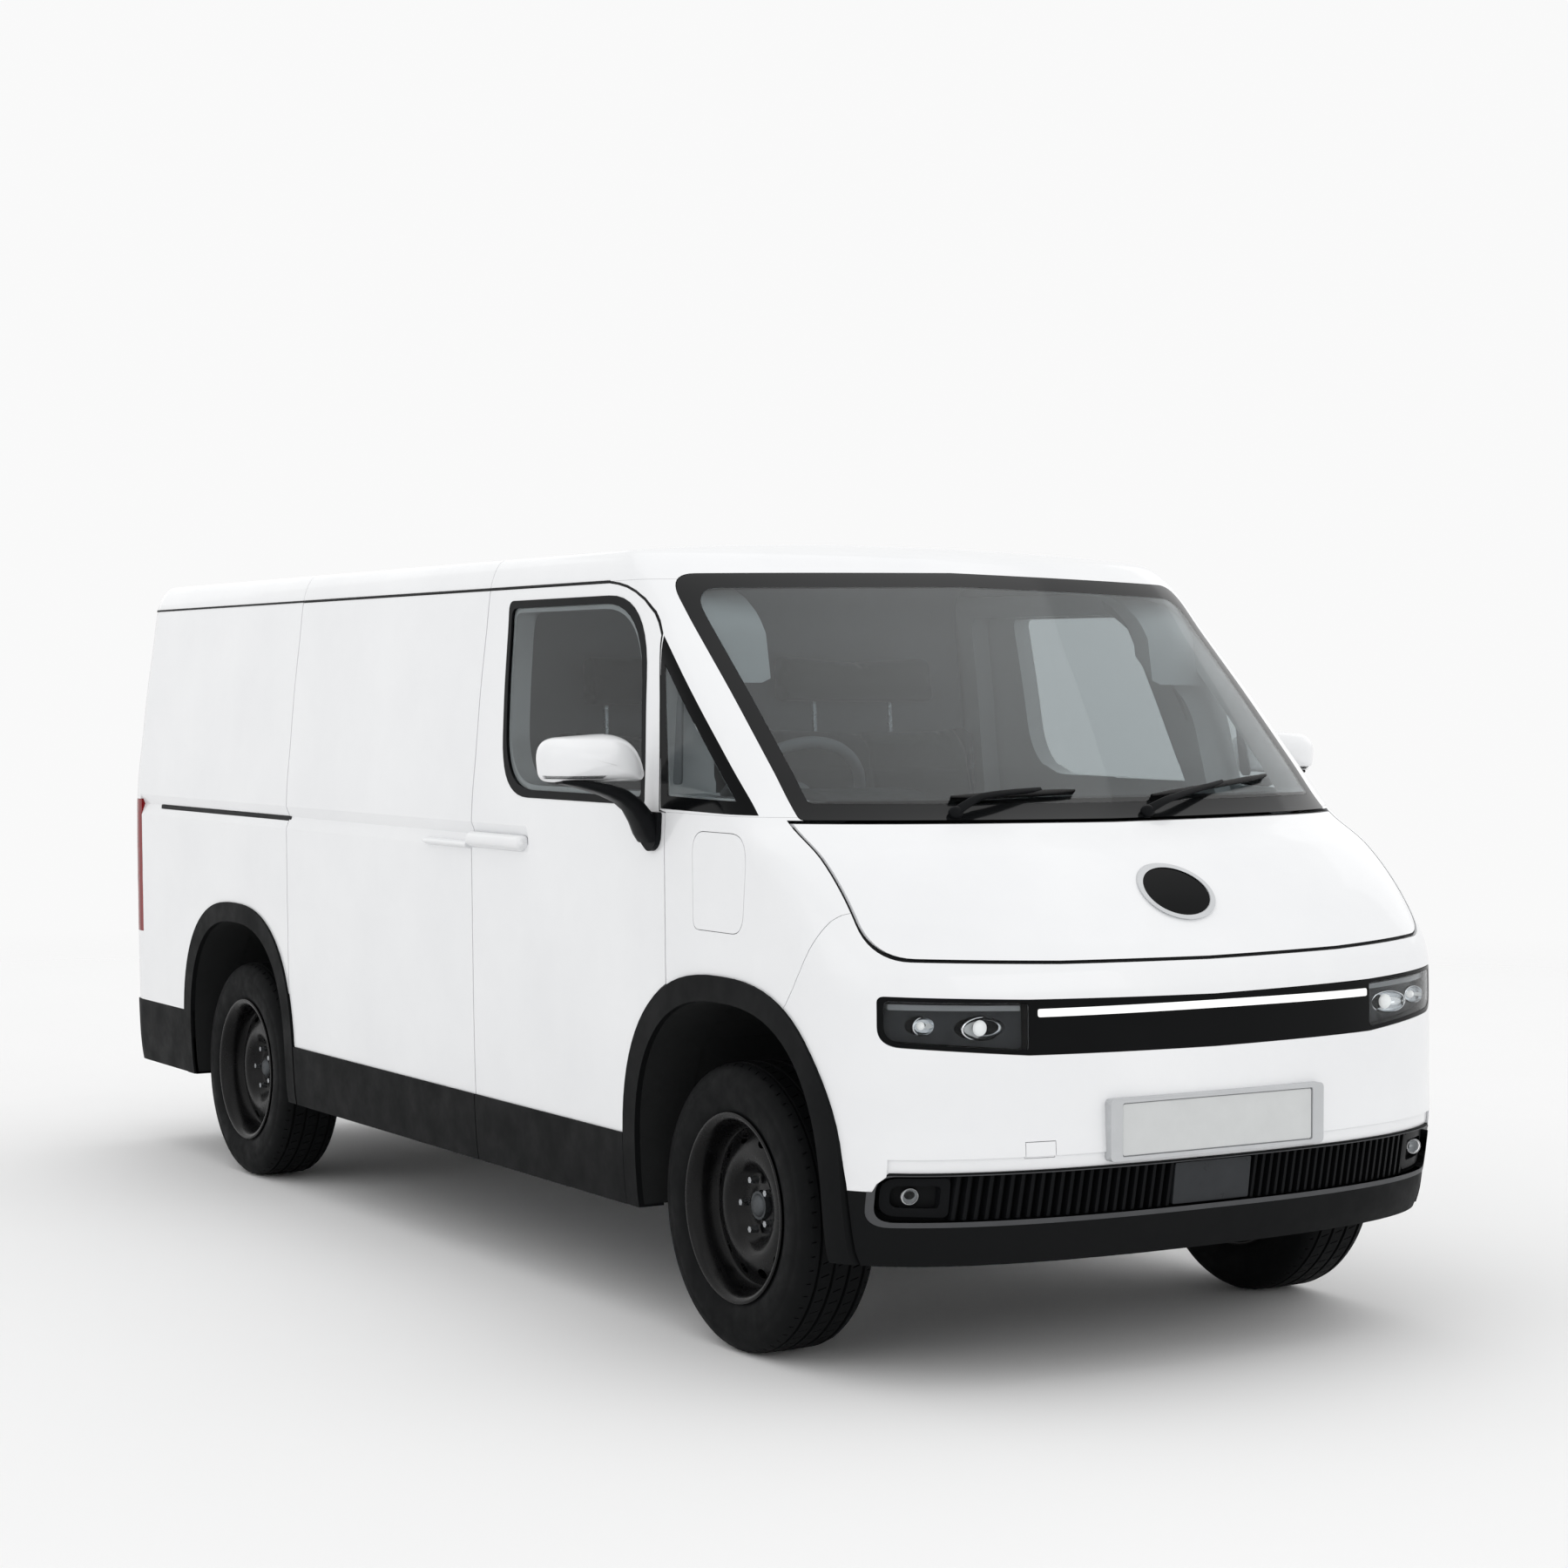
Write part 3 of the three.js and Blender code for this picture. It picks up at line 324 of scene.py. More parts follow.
# height, half width, nose, depth of the nose's corners, tail, depth of the tail's corners
hullLevels = [
    (262, 818, 40, 340, 6, 90), (300, 824, 26, 340, 4, 90), (361, 829, 16, 340, 0, 90),
    (440, 833, 6, 340, 0, 90), (495, 835, 0, 340, 0, 90), (560, 837, 4, 340, 0, 90),
    (700, 840, 8, 340, 0, 90), (830, 842, 12, 340, 0, 90), (870, 843, 21, 340, 0, 90),
    (897, 843, 34, 338, 0, 90), (960, 844, 83, 330, 0, 90), (1030, 845, 148, 322, 2, 90),
    (1110, 846, 248, 312, 5, 90), (1182, 844, 383, 300, 9, 90), (1300, 834, 512, 280, 17, 90),
    (1468, 820, 696, 250, 29, 90), (1620, 803, 868, 222, 41, 90), (1735, 790, 997, 197, 49, 90),
    (1765, 781, 1035, 195, 54, 95), (1790, 768, 1073, 195, 65, 100), (1803, 752, 1110, 195, 82, 110),
    (1813, 650, 1148, 200, 102, 120), (1824, 525, 1213, 220, 132, 120), (1834, 375, 1318, 260, 202, 120),
    (1841, 225, 1478, 280, 362, 120), (1845, 12, 1778, 20, 662, 20),
]
hullEnds = dict(nose=-2280, tail=2265, noseRound=2.5, tailRound=4.0, rise=16, noseSteps=72, tailSteps=32)
gutter = 1729
table = np.array(hullLevels, float)


def steady(z, column):
    # A curve through the hull's levels that never overshoots them.
    heights, values = table[:, 0], table[:, column]
    slopes = np.diff(values) / np.diff(heights)
    tangents = np.zeros(len(values))
    for i in range(1, len(values) - 1):
        if slopes[i - 1] * slopes[i] > 0:
            tangents[i] = 2 / (1 / slopes[i - 1] + 1 / slopes[i])
    tangents[0], tangents[-1] = slopes[0], slopes[-1]
    z = np.clip(z, heights[0], heights[-1])
    k = np.clip(np.searchsorted(heights, z, side="right") - 1, 0, len(slopes) - 1)
    step = heights[k + 1] - heights[k]
    t = (z - heights[k]) / step
    return (values[k] * (2 * t ** 3 - 3 * t ** 2 + 1) + tangents[k] * step * (t ** 3 - 2 * t ** 2 + t)
            + values[k + 1] * (3 * t ** 2 - 2 * t ** 3) + tangents[k + 1] * step * (t ** 3 - t ** 2))


def hullForm(points):
    # Below zero inside the hull and above it outside, for an array of points in millimetres.
    x, y, z = points.T
    half, noseDeep, tailDeep = steady(z, 1), steady(z, 3), steady(z, 5)
    noseLine = hullEnds["nose"] + steady(z, 2) + noseDeep
    tailLine = hullEnds["tail"] - steady(z, 4) - tailDeep
    ahead = np.clip((noseLine - y) / noseDeep, 0, None)
    astern = np.clip((y - tailLine) / tailDeep, 0, None)
    across = np.abs(x) / half
    front = (across ** hullEnds["noseRound"] + ahead ** hullEnds["noseRound"]) ** (1 / hullEnds["noseRound"])
    back = (across ** hullEnds["tailRound"] + astern ** hullEnds["tailRound"]) ** (1 / hullEnds["tailRound"])
    return np.where(ahead > 0, front, np.where(astern > 0, back, across)) - 1


def hullNormals(points, reach=0.4):
    # Outward directions of the hull at the points, and how far each point stands off it.
    points = np.array(points, float)
    here = hullForm(points)
    slope = np.zeros_like(points)
    for axis in range(3):
        move = np.zeros(3)
        move[axis] = reach
        slope[:, axis] = (hullForm(points + move) - hullForm(points - move)) / (2 * reach)
    size = np.linalg.norm(slope, axis=1) + 1e-9
    return slope / size[:, None], here / size


levelHeights = []
for low, high in zip(hullLevels, hullLevels[1:]):
    count = max(2, math.ceil((high[0] - low[0]) / hullEnds["rise"]))
    levelHeights += [low[0] + (high[0] - low[0]) * i / count for i in range(count)]
levelHeights.append(hullLevels[-1][0])
hullCache = {}


def hull(inset=0.0, lift=None, step=0.0):
    # The body's outer form moved in by `inset`, with the roof lowered by `lift` and the tail moved by `step`.
    lift = inset if lift is None else lift
    key = (inset, lift, step)
    if key in hullCache:
        return hullCache[key]
    points = []
    ends = hullEnds
    for z in levelHeights:
        share = min(max((z - gutter + 40) / (hullLevels[-1][0] - gutter + 40), 0), 1)
        share = share * share * (3 - 2 * share)
        slope = 1.35 if z > 897 else 1.0
        half = max(float(steady(z, 1)) - inset * (1 - 0.7 * share), 6)
        nose = ends["nose"] + float(steady(z, 2)) + inset * slope
        noseDeep = max(float(steady(z, 3)) - inset * 0.4, 15)
        tail = ends["tail"] - float(steady(z, 4)) - inset + step
        tailDeep = max(float(steady(z, 5)) - inset * 0.4, 15)
        height = z - lift * share - (60 if inset > 0 and z == levelHeights[0] else 0)
        for count, end, deep, power, way in ((ends["noseSteps"], nose, noseDeep, ends["noseRound"], 1),
                                             (ends["tailSteps"], tail, -tailDeep, ends["tailRound"], -1)):
            for i in range(count + 1):
                angle = way * (-math.pi / 2 + math.pi * i / count)
                side = math.copysign(abs(math.sin(angle)) ** (2 / power), math.sin(angle))
                reachShare = abs(math.cos(angle)) ** (2 / power) if 0 < i < count else 0.0
                points.append((half * side, end + deep * (1 - reachShare), height))
    size = ends["noseSteps"] + ends["tailSteps"] + 2
    rows = len(levelHeights)
    faces = [tuple(reversed(range(size))), tuple(range((rows - 1) * size, rows * size))]
    faces += [(r * size + i, r * size + (i + 1) % size, (r + 1) * size + (i + 1) % size, (r + 1) * size + i)
              for r in range(rows - 1) for i in range(size)]
    hullCache[key] = newMesh("hull", points, faces)
    return hullCache[key]


made = []


def smoothed(mesh, offsets=(0.0,), sharp=32):
    # Soft normals: exact ones where a face lies on the hull or parallel to it, by angle elsewhere.
    for polygon in mesh.polygons:
        polygon.use_smooth = True
    mesh.set_sharp_from_angle(angle=math.radians(sharp))
    count = len(mesh.polygons)
    centres = np.empty(count * 3)
    mesh.polygons.foreach_get("center", centres)
    facing = np.empty(count * 3)
    mesh.polygons.foreach_get("normal", facing)
    centres, facing = centres.reshape(-1, 3) * 1000, facing.reshape(-1, 3)
    outward, away = hullNormals(centres)
    agree = (outward * facing).sum(axis=1)
    near = np.min([np.abs(away + offset) for offset in offsets], axis=0) < 0.9
    exact = near & (np.abs(agree) > 0.8)
    points = np.empty(len(mesh.vertices) * 3)
    mesh.vertices.foreach_get("co", points)
    vertexNormals, _ = hullNormals(points.reshape(-1, 3) * 1000)
    normals = []
    for polygon in mesh.polygons:
        for loop in polygon.loop_indices:
            if exact[polygon.index]:
                n = vertexNormals[mesh.loops[loop].vertex_index] * np.sign(agree[polygon.index])
                normals.append(tuple(n))
            else:
                normals.append((0.0, 0.0, 0.0))
    mesh.normals_split_custom_set(normals)


def piece(name, mesh, body, finish, replaced=(), offsets=None, sharp=32):
    # A finished piece: its object, material, normals, body and slot.
    mesh.name = name
    obj = bpy.data.objects.new(name, mesh)
    bpy.context.scene.collection.objects.link(obj)
    mesh.materials.clear()
    mesh.materials.append(materials[finish])
    if offsets is not None:
        smoothed(mesh, offsets, sharp)
    else:
        for polygon in mesh.polygons:
            polygon.use_smooth = True
        mesh.set_sharp_from_angle(angle=math.radians(sharp))
    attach(obj, body)
    if replaced:
        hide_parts(*replaced)
    made.append(obj)
    return obj


def softEdge(obj, width):
    bevel = obj.modifiers.new("edge", "BEVEL")
    bevel.width, bevel.segments, bevel.limit_method = width, 3, "ANGLE"


# The parts' shared outlines, drawn in the side view as (y, z) or in the front view as (x, z)
edges = dict(doorFront=-1345, doorRear=-330, slideRear=915, belt=1193, skirt=268, seam=4.0, screenHalf=745,
             bonnetHalf=762, rearBumperTop=466, rearArchY=1335, frontArchY=-1595, wall=60, roofWall=42)
# How far the cutting tools reach: past the nose, past the tail, out past a side and in from it
ahead, behind, reach, sideDepth = -2400, 2400, 900, 560
# How far back the tools that cut the nose run, and where those that cut the tail start
badgeBack, lampBack, grilleBack, bonnetBack = -1900, -1700, -1990, -1650
hatchBack, screenBack, tailFront = -1500, -900, 2000


def archOutline(centre, half, top, grow, bottom=100, steps=40):
    outline = [(centre - half - grow, bottom)]
    for i in range(steps + 1):
        angle = math.pi - math.pi * i / steps
        along = math.copysign(abs(math.cos(angle)) ** 0.8, math.cos(angle))
        outline.append((centre + (half + grow) * along, 380 + (top - 380 + grow) * math.sin(angle) ** 0.8))
    outline.append((centre + half + grow, bottom))
    return outline


def frontArch(grow, x0=-reach, x1=reach, bottom=100):
    return prism(archOutline(edges["frontArchY"], 462, 839, grow, bottom), x0, x1, "x")


def rearArch(grow, x0=-reach, x1=reach, bottom=100):
    return prism(archOutline(edges["rearArchY"], 445, 829, grow, bottom), x0, x1, "x")


doorLine = [(-1318, 1197), (-1281, 1454), (-1253, 1600), (-1230, 1630), (-1208, 1652), (-1160, 1684),
            (-1115, 1703), (-1070, 1716), (-1025, 1724), (-980, 1729)]
bumperLine = [(-1860, 795), (-1867, 801), (-1898, 838), (-1929, 879), (-1950, 912), (-1967, 943),
              (-1978, 966), (-1987, 985), (-1998, 997), (-2013, 1003)]


def doorOutline(gap):
    rear, front, top = edges["doorRear"] - gap / 2, edges["doorFront"] + gap / 2, gutter - gap - 1
    return ([(rear, edges["skirt"]), (rear, top)] + shifted(doorLine, gap / 2, -gap - 1)[::-1]
            + [(front, edges["belt"] - gap / 2), (front, edges["skirt"])])


def doorWindow(margin):
    return rounded([(-455 - margin, 1690 - margin, 25), (-1180 + margin, 1690 - margin, 200),
                    (-1240 + margin, 1210 + margin, 15), (-500 - margin, 1210 + margin, 150)], 10)


def quarterWindow(margin):
    return [(-1321 - margin, 1200 + margin), (-1259 - margin, 1596 - 2.2 * margin),
            (-1700 + 2.2 * margin, 1196 + margin)]


def screenOutline(margin):
    half = edges["screenHalf"] - margin
    return rounded([(-half, 1187 + margin, 10), (0, 1181 + margin), (half, 1187 + margin, 10),
                    (half, 1742 - margin, 60), (0, 1757 - margin), (-half, 1742 - margin, 60)], 10)


def bonnetOutline(grow):
    half, mid = edges["bonnetHalf"] + grow, edges["bonnetHalf"] / 2
    return rounded([(-half, 1181 + grow), (-half, 912 - grow, 72), (-mid, 900 - grow), (0, 896 - grow),
                    (mid, 900 - grow), (half, 912 - grow, 72), (half, 1181 + grow), (0, 1175 + grow)], 10)


def lampOutline(grow):
    end = 766 + grow
    return rounded([(-end, 834 + grow, 14), (-end, 733 - grow, 40), (-470, 709 - grow), (0, 705 - grow),
                    (470, 709 - grow), (end, 733 - grow, 40), (end, 834 + grow, 14), (470, 823 + grow),
                    (0, 816 + grow), (-470, 823 + grow)], 8)


def flapOutline(grow):
    return rounded([(-1474 + grow, 1156 + grow, 50), (-1474 + grow, 936 - grow, 25),
                    (-1690 - grow, 936 - grow, 45), (-1716 - grow, 1156 + grow, 75)], 10)


def bumperEdge(gap):
    return [(-reach, 428 + gap), (-772, 428 + gap), (-766, 445 + gap), (-745, 468 + gap), (745, 468 + gap),
            (766, 445 + gap), (772, 428 + gap), (reach, 428 + gap)]


outer = hull()
wall = less(outer, hull(edges["wall"], edges["roofWall"]))
panes = dict(thick=6, cut=6.4)
doorFrames = dict(outer=66, inner=121)
glassLayer = less(outer, hull(panes["thick"]))
glassBack = hull(panes["cut"])
frameInner = hull(doorFrames["inner"], edges["roofWall"])
frameLayer = less(hull(doorFrames["outer"], edges["roofWall"]), frameInner)
deepLayer = less(outer, frameInner)


def spanOf(side, near=sideDepth):
    return (side * near, side * reach)


def screenPrism(margin):
    return prism(screenOutline(margin), ahead, screenBack, "y")


print("hull ready:", len(outer.polygons), "faces")

# Roof, with a fine seam over each shoulder where the side panels meet
roofSeams = dict(places=(915, -330), width=2.6, depth=5)
header = common(wall, glassBack, screenPrism(-4))
header = common(less(header, screenPrism(38)), block(-630, 630, ahead, screenBack, 1700, 1845))
roof = joined(less(common(wall, block(-reach, reach, ahead, behind, gutter + 0.2, 1900)), screenPrism(0)),
              header)
for y in roofSeams["places"]:
    groove = block(-reach, reach, y - roofSeams["width"] / 2, y + roofSeams["width"] / 2, gutter - 10, 1812)
    roof = less(roof, less(groove, hull(roofSeams["depth"], roofSeams["depth"])))
piece("roofPanel", roof, "van_body", "whitePaint", ["roof_panel"], [0, 42])

# Black rubber strip in the gutter
gutterStrip = dict(low=1725.6, high=1731.4, proud=1.6)
strip = less(hull(-gutterStrip["proud"], 0), hull(8))
strip = common(strip, block(-reach, reach, -980, behind, gutterStrip["low"], gutterStrip["high"]))
strip = less(strip, block(-735, 735, ahead, behind, 1700, 1760))
for word, side in sides.items():
    piece("gutterSeal_" + word, common(strip, block(0, side * reach, ahead, behind, 1700, 1760)),
          "van_body", "sealRubber", offsets=[-1.6])
frameStrip = less(hull(-0.4), hull(8))
for word, side in sides.items():
    line = [(y - 1.5, z + 1.0) for y, z in doorLine] + [(y + 2.0, z - 3.6) for y, z in doorLine[::-1]]
    piece("frameSeal_" + word, common(frameStrip, prism(line, *spanOf(side), "x")), "van_body",
          "sealRubber", offsets=[-0.4])

# Bonnet and its badge, a plain oval
bonnetShell = common(outer, prism(bonnetOutline(-1.5), ahead, bonnetBack, "y"))
piece("bonnetPanel", less(bonnetShell, hull(40)), "bonnet_lid", "whitePaint", ["bonnet"], [0, 40])
badge = dict(z=1031, half=97, tall=58, ring=12, proud=5)


def oval(half, tall, centre, steps=64):
    return [(half * math.cos(2 * math.pi * i / steps), centre + tall * math.sin(2 * math.pi * i / steps))
            for i in range(steps)]


badgeOuter = prism(oval(badge["half"], badge["tall"], badge["z"]), ahead, badgeBack, "y")
badgeInner = prism(oval(badge["half"] - badge["ring"], badge["tall"] - badge["ring"] * 0.72, badge["z"]),
                   ahead, badgeBack, "y")
piece("badgeRing", less(common(less(hull(-badge["proud"]), hull(2)), badgeOuter), badgeInner), "bonnet_lid",
      "silverTrim", offsets=[-5])
piece("badgePlate", common(less(hull(-2.5), hull(2)), badgeInner), "bonnet_lid", "glossBlack",
      offsets=[-2.5])

# Painted shade: a black rubber sheet down in the gap round the bonnet, so that gap reads dark
gapShade = dict(depth=5, thick=16)
gapShadeLayer = less(hull(gapShade["depth"]), hull(gapShade["depth"] + gapShade["thick"]))
bonnetSeal = common(gapShadeLayer, prism(bonnetOutline(5.6), ahead, bonnetBack, "y"),
                    block(-reach, reach, ahead, behind, 0, 1172))
# the black sheet just under the bonnet's edge is painted shade that fills the gap with dark, not a seal
piece("bonnetSeal", less(bonnetSeal, prism(bonnetOutline(-1), ahead, bonnetBack, "y")), "van_body",
      "sealRubber", offsets=[5])

# Front bumper: a low ledge, a tow-eye cover and the blank plate
bumper = dict(ledge=497, ledgeStep=5, towEye=(-482, -412, 492, 528), towLine=1.6)
seamLine = shifted(bumperLine, -2.4)
zone = prism([(ahead, 400), (-1860 - 2.4, 400)] + seamLine + [(-2013, 1100), (ahead, 1100)], -reach, reach,
             "x")
below = prism([(-reach, 0), (reach, 0)] + bumperEdge(0.2)[::-1], ahead, lampBack, "y")
bumperBody = less(common(wall, zone), below, prism(bonnetOutline(6), ahead, hatchBack, "y"), frontArch(0.4),
                  less(prism(lampOutline(1.5), ahead, badgeBack, "y"), hull(44)))
ledgeBand = block(-752, 752, ahead, lampBack, 400, bumper["ledge"])
bumperBody = less(bumperBody, less(ledgeBand, hull(bumper["ledgeStep"])))
x0, x1, z0, z1 = bumper["towEye"]
w = bumper["towLine"]
towRing = less(block(x0, x1, ahead, lampBack, z0, z1),
               block(x0 + w, x1 - w, ahead - 5, -1690, z0 + w, z1 - w))
bumperBody = less(bumperBody, less(towRing, hull(9)))
piece("frontBumper", bumperBody, "van_body", "whitePaint", ["front_bumper"], [0, 5, 60])
print("front panels ready")

plate = dict(half=293, low=476, high=609, blankHalf=260, blankLow=487, blankHigh=597, round=12,
             frontY=-2283)


def plateOutline(half, low, high, radius):
    corners = [(-half, low), (half, low), (half, high), (-half, high)]
    return rounded([corner + (radius,) for corner in corners], 6)


def flatPlate(y, facing, shift=0.0):
    # the plate is flat, its holder has a raised rim, and `facing` is -1 ahead and 1 behind
    def slab(outline, near, far):
        return prism([(u, v + shift) for u, v in outline], y + facing * near, y + facing * far, "y")
    frameOuter = plateOutline(plate["half"], plate["low"], plate["high"], plate["round"])
    frameInside = plateOutline(plate["blankHalf"] + 2, plate["blankLow"] - 2, plate["blankHigh"] + 2, 6)
    blank = plateOutline(plate["blankHalf"], plate["blankLow"], plate["blankHigh"], 6)
    holder = less(slab(frameOuter, -30, 4), slab(frameInside, -4, 8))
    return holder, slab(blank, -6, 0.5)


holder, blank = flatPlate(plate["frontY"], -1)
for name, mesh, finish in (("plateHolderFront", holder, "paleSilver"), ("plateFront", blank, "plateWhite")):
    obj = piece(name, mesh, "van_body", finish)
    softEdge(obj, 0.0025 if name == "plateHolderFront" else 0.001)

# The lamp band: two lamps and a strip of light between them
band = dict(lampFrom=470, lampTo=757, glowLow=787, glowHigh=804, glowFrom=-450, glowTo=460)


def lampPocket(side, margin):
    near, far = band["lampFrom"] + margin, band["lampTo"] - margin
    corners = [(near, 817 - margin, 8), (near, 717 + margin, 12), (far, 741 + margin, 34),
               (far, 826 - margin, 12)]
    return rounded([(side * u, v, r) for u, v, r in corners], 8)


barBody = less(common(outer, prism(lampOutline(0), ahead, badgeBack, "y")), hull(43))
for side in (-1, 1):
    pocket = prism(lampPocket(side, 0), ahead, lampBack, "y")
    barBody = less(barBody, less(pocket, hull(34)))
piece("lampBand", barBody, "van_body", "glossBlack", ["lamp_bar"], [0, 34, 43])
glow = prism(rounded([(band["glowFrom"], band["glowLow"], 5), (band["glowTo"], band["glowLow"], 5),
                      (band["glowTo"], band["glowHigh"], 5), (band["glowFrom"], band["glowHigh"], 5)], 4),
             ahead, badgeBack, "y")
piece("lightStrip", common(less(hull(-1.5), hull(3)), glow), "van_body", "lightGuide", offsets=[-1.5])


def bowl(centre, half, tall, deep, rings=10, steps=40):
    # an oval reflector: a dished cup that opens forwards, with a rolled edge
    points, faces = [], []
    profile = [(1.0, 0.0), (1.0, -0.12), (0.94, -0.16)]
    profile += [(0.94 * math.cos(i / rings * math.pi / 2), -0.16 + 1.1 * math.sin(i / rings * math.pi / 2))
                for i in range(1, rings + 1)]
    for share, back in profile:
        for i in range(steps):
            angle = 2 * math.pi * i / steps
            points.append((centre[0] + max(share, 0.03) * half * math.cos(angle), centre[1] + deep * back,
                           centre[2] + max(share, 0.03) * tall * math.sin(angle)))
    for r in range(len(profile) - 1):
        for i in range(steps):
            a, b = r * steps + i, r * steps + (i + 1) % steps
            faces.append((a, b, b + steps, a + steps))
    faces.append(tuple(range((len(profile) - 1) * steps, len(profile) * steps)))
    return newMesh("bowl", points, faces)


def ball(centre, radii, rows=12, steps=24):
    points, faces = [], []
    for r in range(1, rows):
        polar = math.pi * r / rows
        for i in range(steps):
            angle = 2 * math.pi * i / steps
            points.append((centre[0] + radii[0] * math.sin(polar) * math.cos(angle),
                           centre[1] + radii[1] * math.cos(polar),
                           centre[2] + radii[2] * math.sin(polar) * math.sin(angle)))
    points += [(centre[0], centre[1] + radii[1], centre[2]), (centre[0], centre[1] - radii[1], centre[2])]
    for r in range(rows - 2):
        for i in range(steps):
            a, b = r * steps + i, r * steps + (i + 1) % steps
            faces.append((a, a + steps, b + steps, b))
    first, last = len(points) - 2, len(points) - 1
    for i in range(steps):
        faces.append((first, i, (i + 1) % steps))
        faces.append((last, (rows - 2) * steps + (i + 1) % steps, (rows - 2) * steps + i))
    return newMesh("ball", points, faces)


def noseAt(x, z, inset=0.0):
    # where a line along Y meets the hull's nose
    low, high = -2400.0, -1500.0
    for _ in range(40):
        middle = (low + high) / 2
        if hullForm(np.array([[x, middle, z]]))[0] > 0:
            low = middle
        else:
            high = middle
    return high + inset


def sideAt(y, z):
    low, high = 700.0, 900.0
    for _ in range(40):
        middle = (low + high) / 2
        if hullForm(np.array([[middle, y, z]]))[0] > 0:
            high = middle
        else:
            low = middle
    return low


reflectors = dict(places=((679, 772, 27, 20), (561, 765, 53, 25)), deep=24)
for word, side in sides.items():
    pocket = prism(lampPocket(side, 2), ahead, lampBack, "y")
    bezel = common(less(hull(24), hull(33.5)), pocket)
    for x, z, half, tall in reflectors["places"]:
        bezel = less(bezel, prism([(side * x + u, v) for u, v in oval(half, tall, z)], ahead, lampBack,
                                  "y"))
    piece("lampBezel_" + word, bezel, "van_body", "lampGrey", offsets=[24])
    bar = rounded([(side * 482, 800, 3), (side * 742, 806, 3), (side * 742, 818, 3), (side * 482, 811, 3)],
                  4)
    piece("dayLight_" + word, common(less(hull(12), hull(25)), prism(bar, ahead, lampBack, "y")),
          "van_body", "lightGuideDim", offsets=[12])
    for number, (x, z, half, tall) in enumerate(reflectors["places"]):
        y = noseAt(side * x, z, 20)
        piece("reflector_%s_%d" % (word, number + 1),
              bowl((side * x, y, z), half, tall, reflectors["deep"]), "van_body", "reflector", sharp=50)
        piece("bulb_%s_%d" % (word, number + 1), ball((side * x, y + 8, z), (half * 0.32, 9, half * 0.32)),
              "van_body", "lightGuide")
    piece("lampCover_" + word, common(less(hull(0.6), hull(3.4)),
                                      prism(lampPocket(side, 0.8), ahead, lampBack, "y")),
          "van_body", "lampGlass", offsets=[0.6, 3.4])
print("lamps ready")


def fromSide(outline, side, near=sideDepth):
    return prism(outline, *spanOf(side, near), "x")


# A shallow channel runs along the load side and ends in the door handles
channel = dict(high=1134, middle=1104, low=1066, deep=12, slotLow=1092, slotHigh=1106, slotDeep=20,
               slotFront=897, slotRear=1990)


def channelCut(side, y0, y1, roundedEnd=False):
    wedge = [(side * 846.6, channel["low"]), (side * 846 - side * channel["deep"], channel["middle"]),
             (side * 845.6, channel["high"]), (side * reach, channel["high"] + 4),
             (side * reach, channel["low"] - 4)]
    cut = prism(wedge, y0, y1, "y")
    if roundedEnd:
        outline = rounded([(y0, 1150, 60), (y0, 1060, 26), (y1, 1060), (y1, 1150)], 8)
        cut = common(cut, fromSide(outline, side))
    return cut


def railSlot(gap, radius):
    # The slot for the sliding door's rail, or the rail itself where a gap makes it smaller
    front, back = channel["slotFront"] + 2 * gap, channel["slotRear"] - 2 * gap
    low, high = channel["slotLow"] + gap, channel["slotHigh"] - gap
    return rounded([(front, low, radius), (back, low, radius), (back, high, radius), (front, high, radius)],
                   5)


def innerFrame(side):
    ringOutline = [(-1150, 300), (945, 300), (945, gutter - 4), (-1110, gutter - 4), (-1400, 1193),
                   (-1400, 600), (-1150, 600)]
    frontOpening = rounded([(-365, 560, 40), (-365, 1668, 40), (-1060, 1668, 60), (-1290, 1193, 20),
                            (-1290, 820, 20), (-1095, 700, 40), (-1095, 560, 20)], 8)
    slideOpening = rounded([(-295, 560, 40), (855, 560, 40), (855, 1668, 40), (-295, 1668, 40)], 8)
    return less(common(frameLayer, fromSide(ringOutline, side)), fromSide(frontOpening, side),
                fromSide(slideOpening, side), frontArch(-42, *spanOf(side)))


def bodySide(side):
    half = edges["seam"] / 2
    rear = common(wall, block(*spanOf(side), edges["slideRear"] + half, behind, 466.4, gutter - 0.2))
    quarter = less(rear, block(side * 560, side * 742, 2000, behind, 0, 2000))
    doorEdge = shifted(doorLine, -half)
    pillarTool = fromSide([(edges["doorFront"] - half, 1193.2)] + doorEdge
                          + [(-2300, gutter), (-2300, 1193.2)], side)
    screen, clear = screenPrism(0), screenPrism(38)
    flange = common(less(common(wall, screen), clear),
                    block(side * 640, side * reach, ahead, screenBack, 1225, gutter - 0.2), pillarTool)
    pillar = joined(less(common(wall, pillarTool), screen), flange)
    edgeStrip = common(deepLayer, fromSide(doorEdge + shifted(doorLine, -60)[::-1], side))
    rearStrip = common(deepLayer, block(*spanOf(side), edges["slideRear"] + half, 945, 640, gutter - 4))
    lowStrip = common(deepLayer, block(*spanOf(side), edges["slideRear"] + half + 6, 945, 300, 560))
    body = joined(quarter, pillar, edgeStrip, innerFrame(side), rearStrip, lowStrip)
    slot = railSlot(0, 6)
    return less(body, rearArch(0.3, *spanOf(side)), common(hull(61), rearArch(-42, *spanOf(side))),
                less(screen, glassBack), less(fromSide(quarterWindow(0), side), glassBack),
                fromSide(quarterWindow(34), side),
                block(side * 742, side * reach, 2150, behind, 689.6, 1119.4),
                block(*spanOf(side), ahead, behind, gutter - 0.2, 2000),
                channelCut(side, 905, 2160), less(fromSide(slot, side), hull(channel["slotDeep"])))


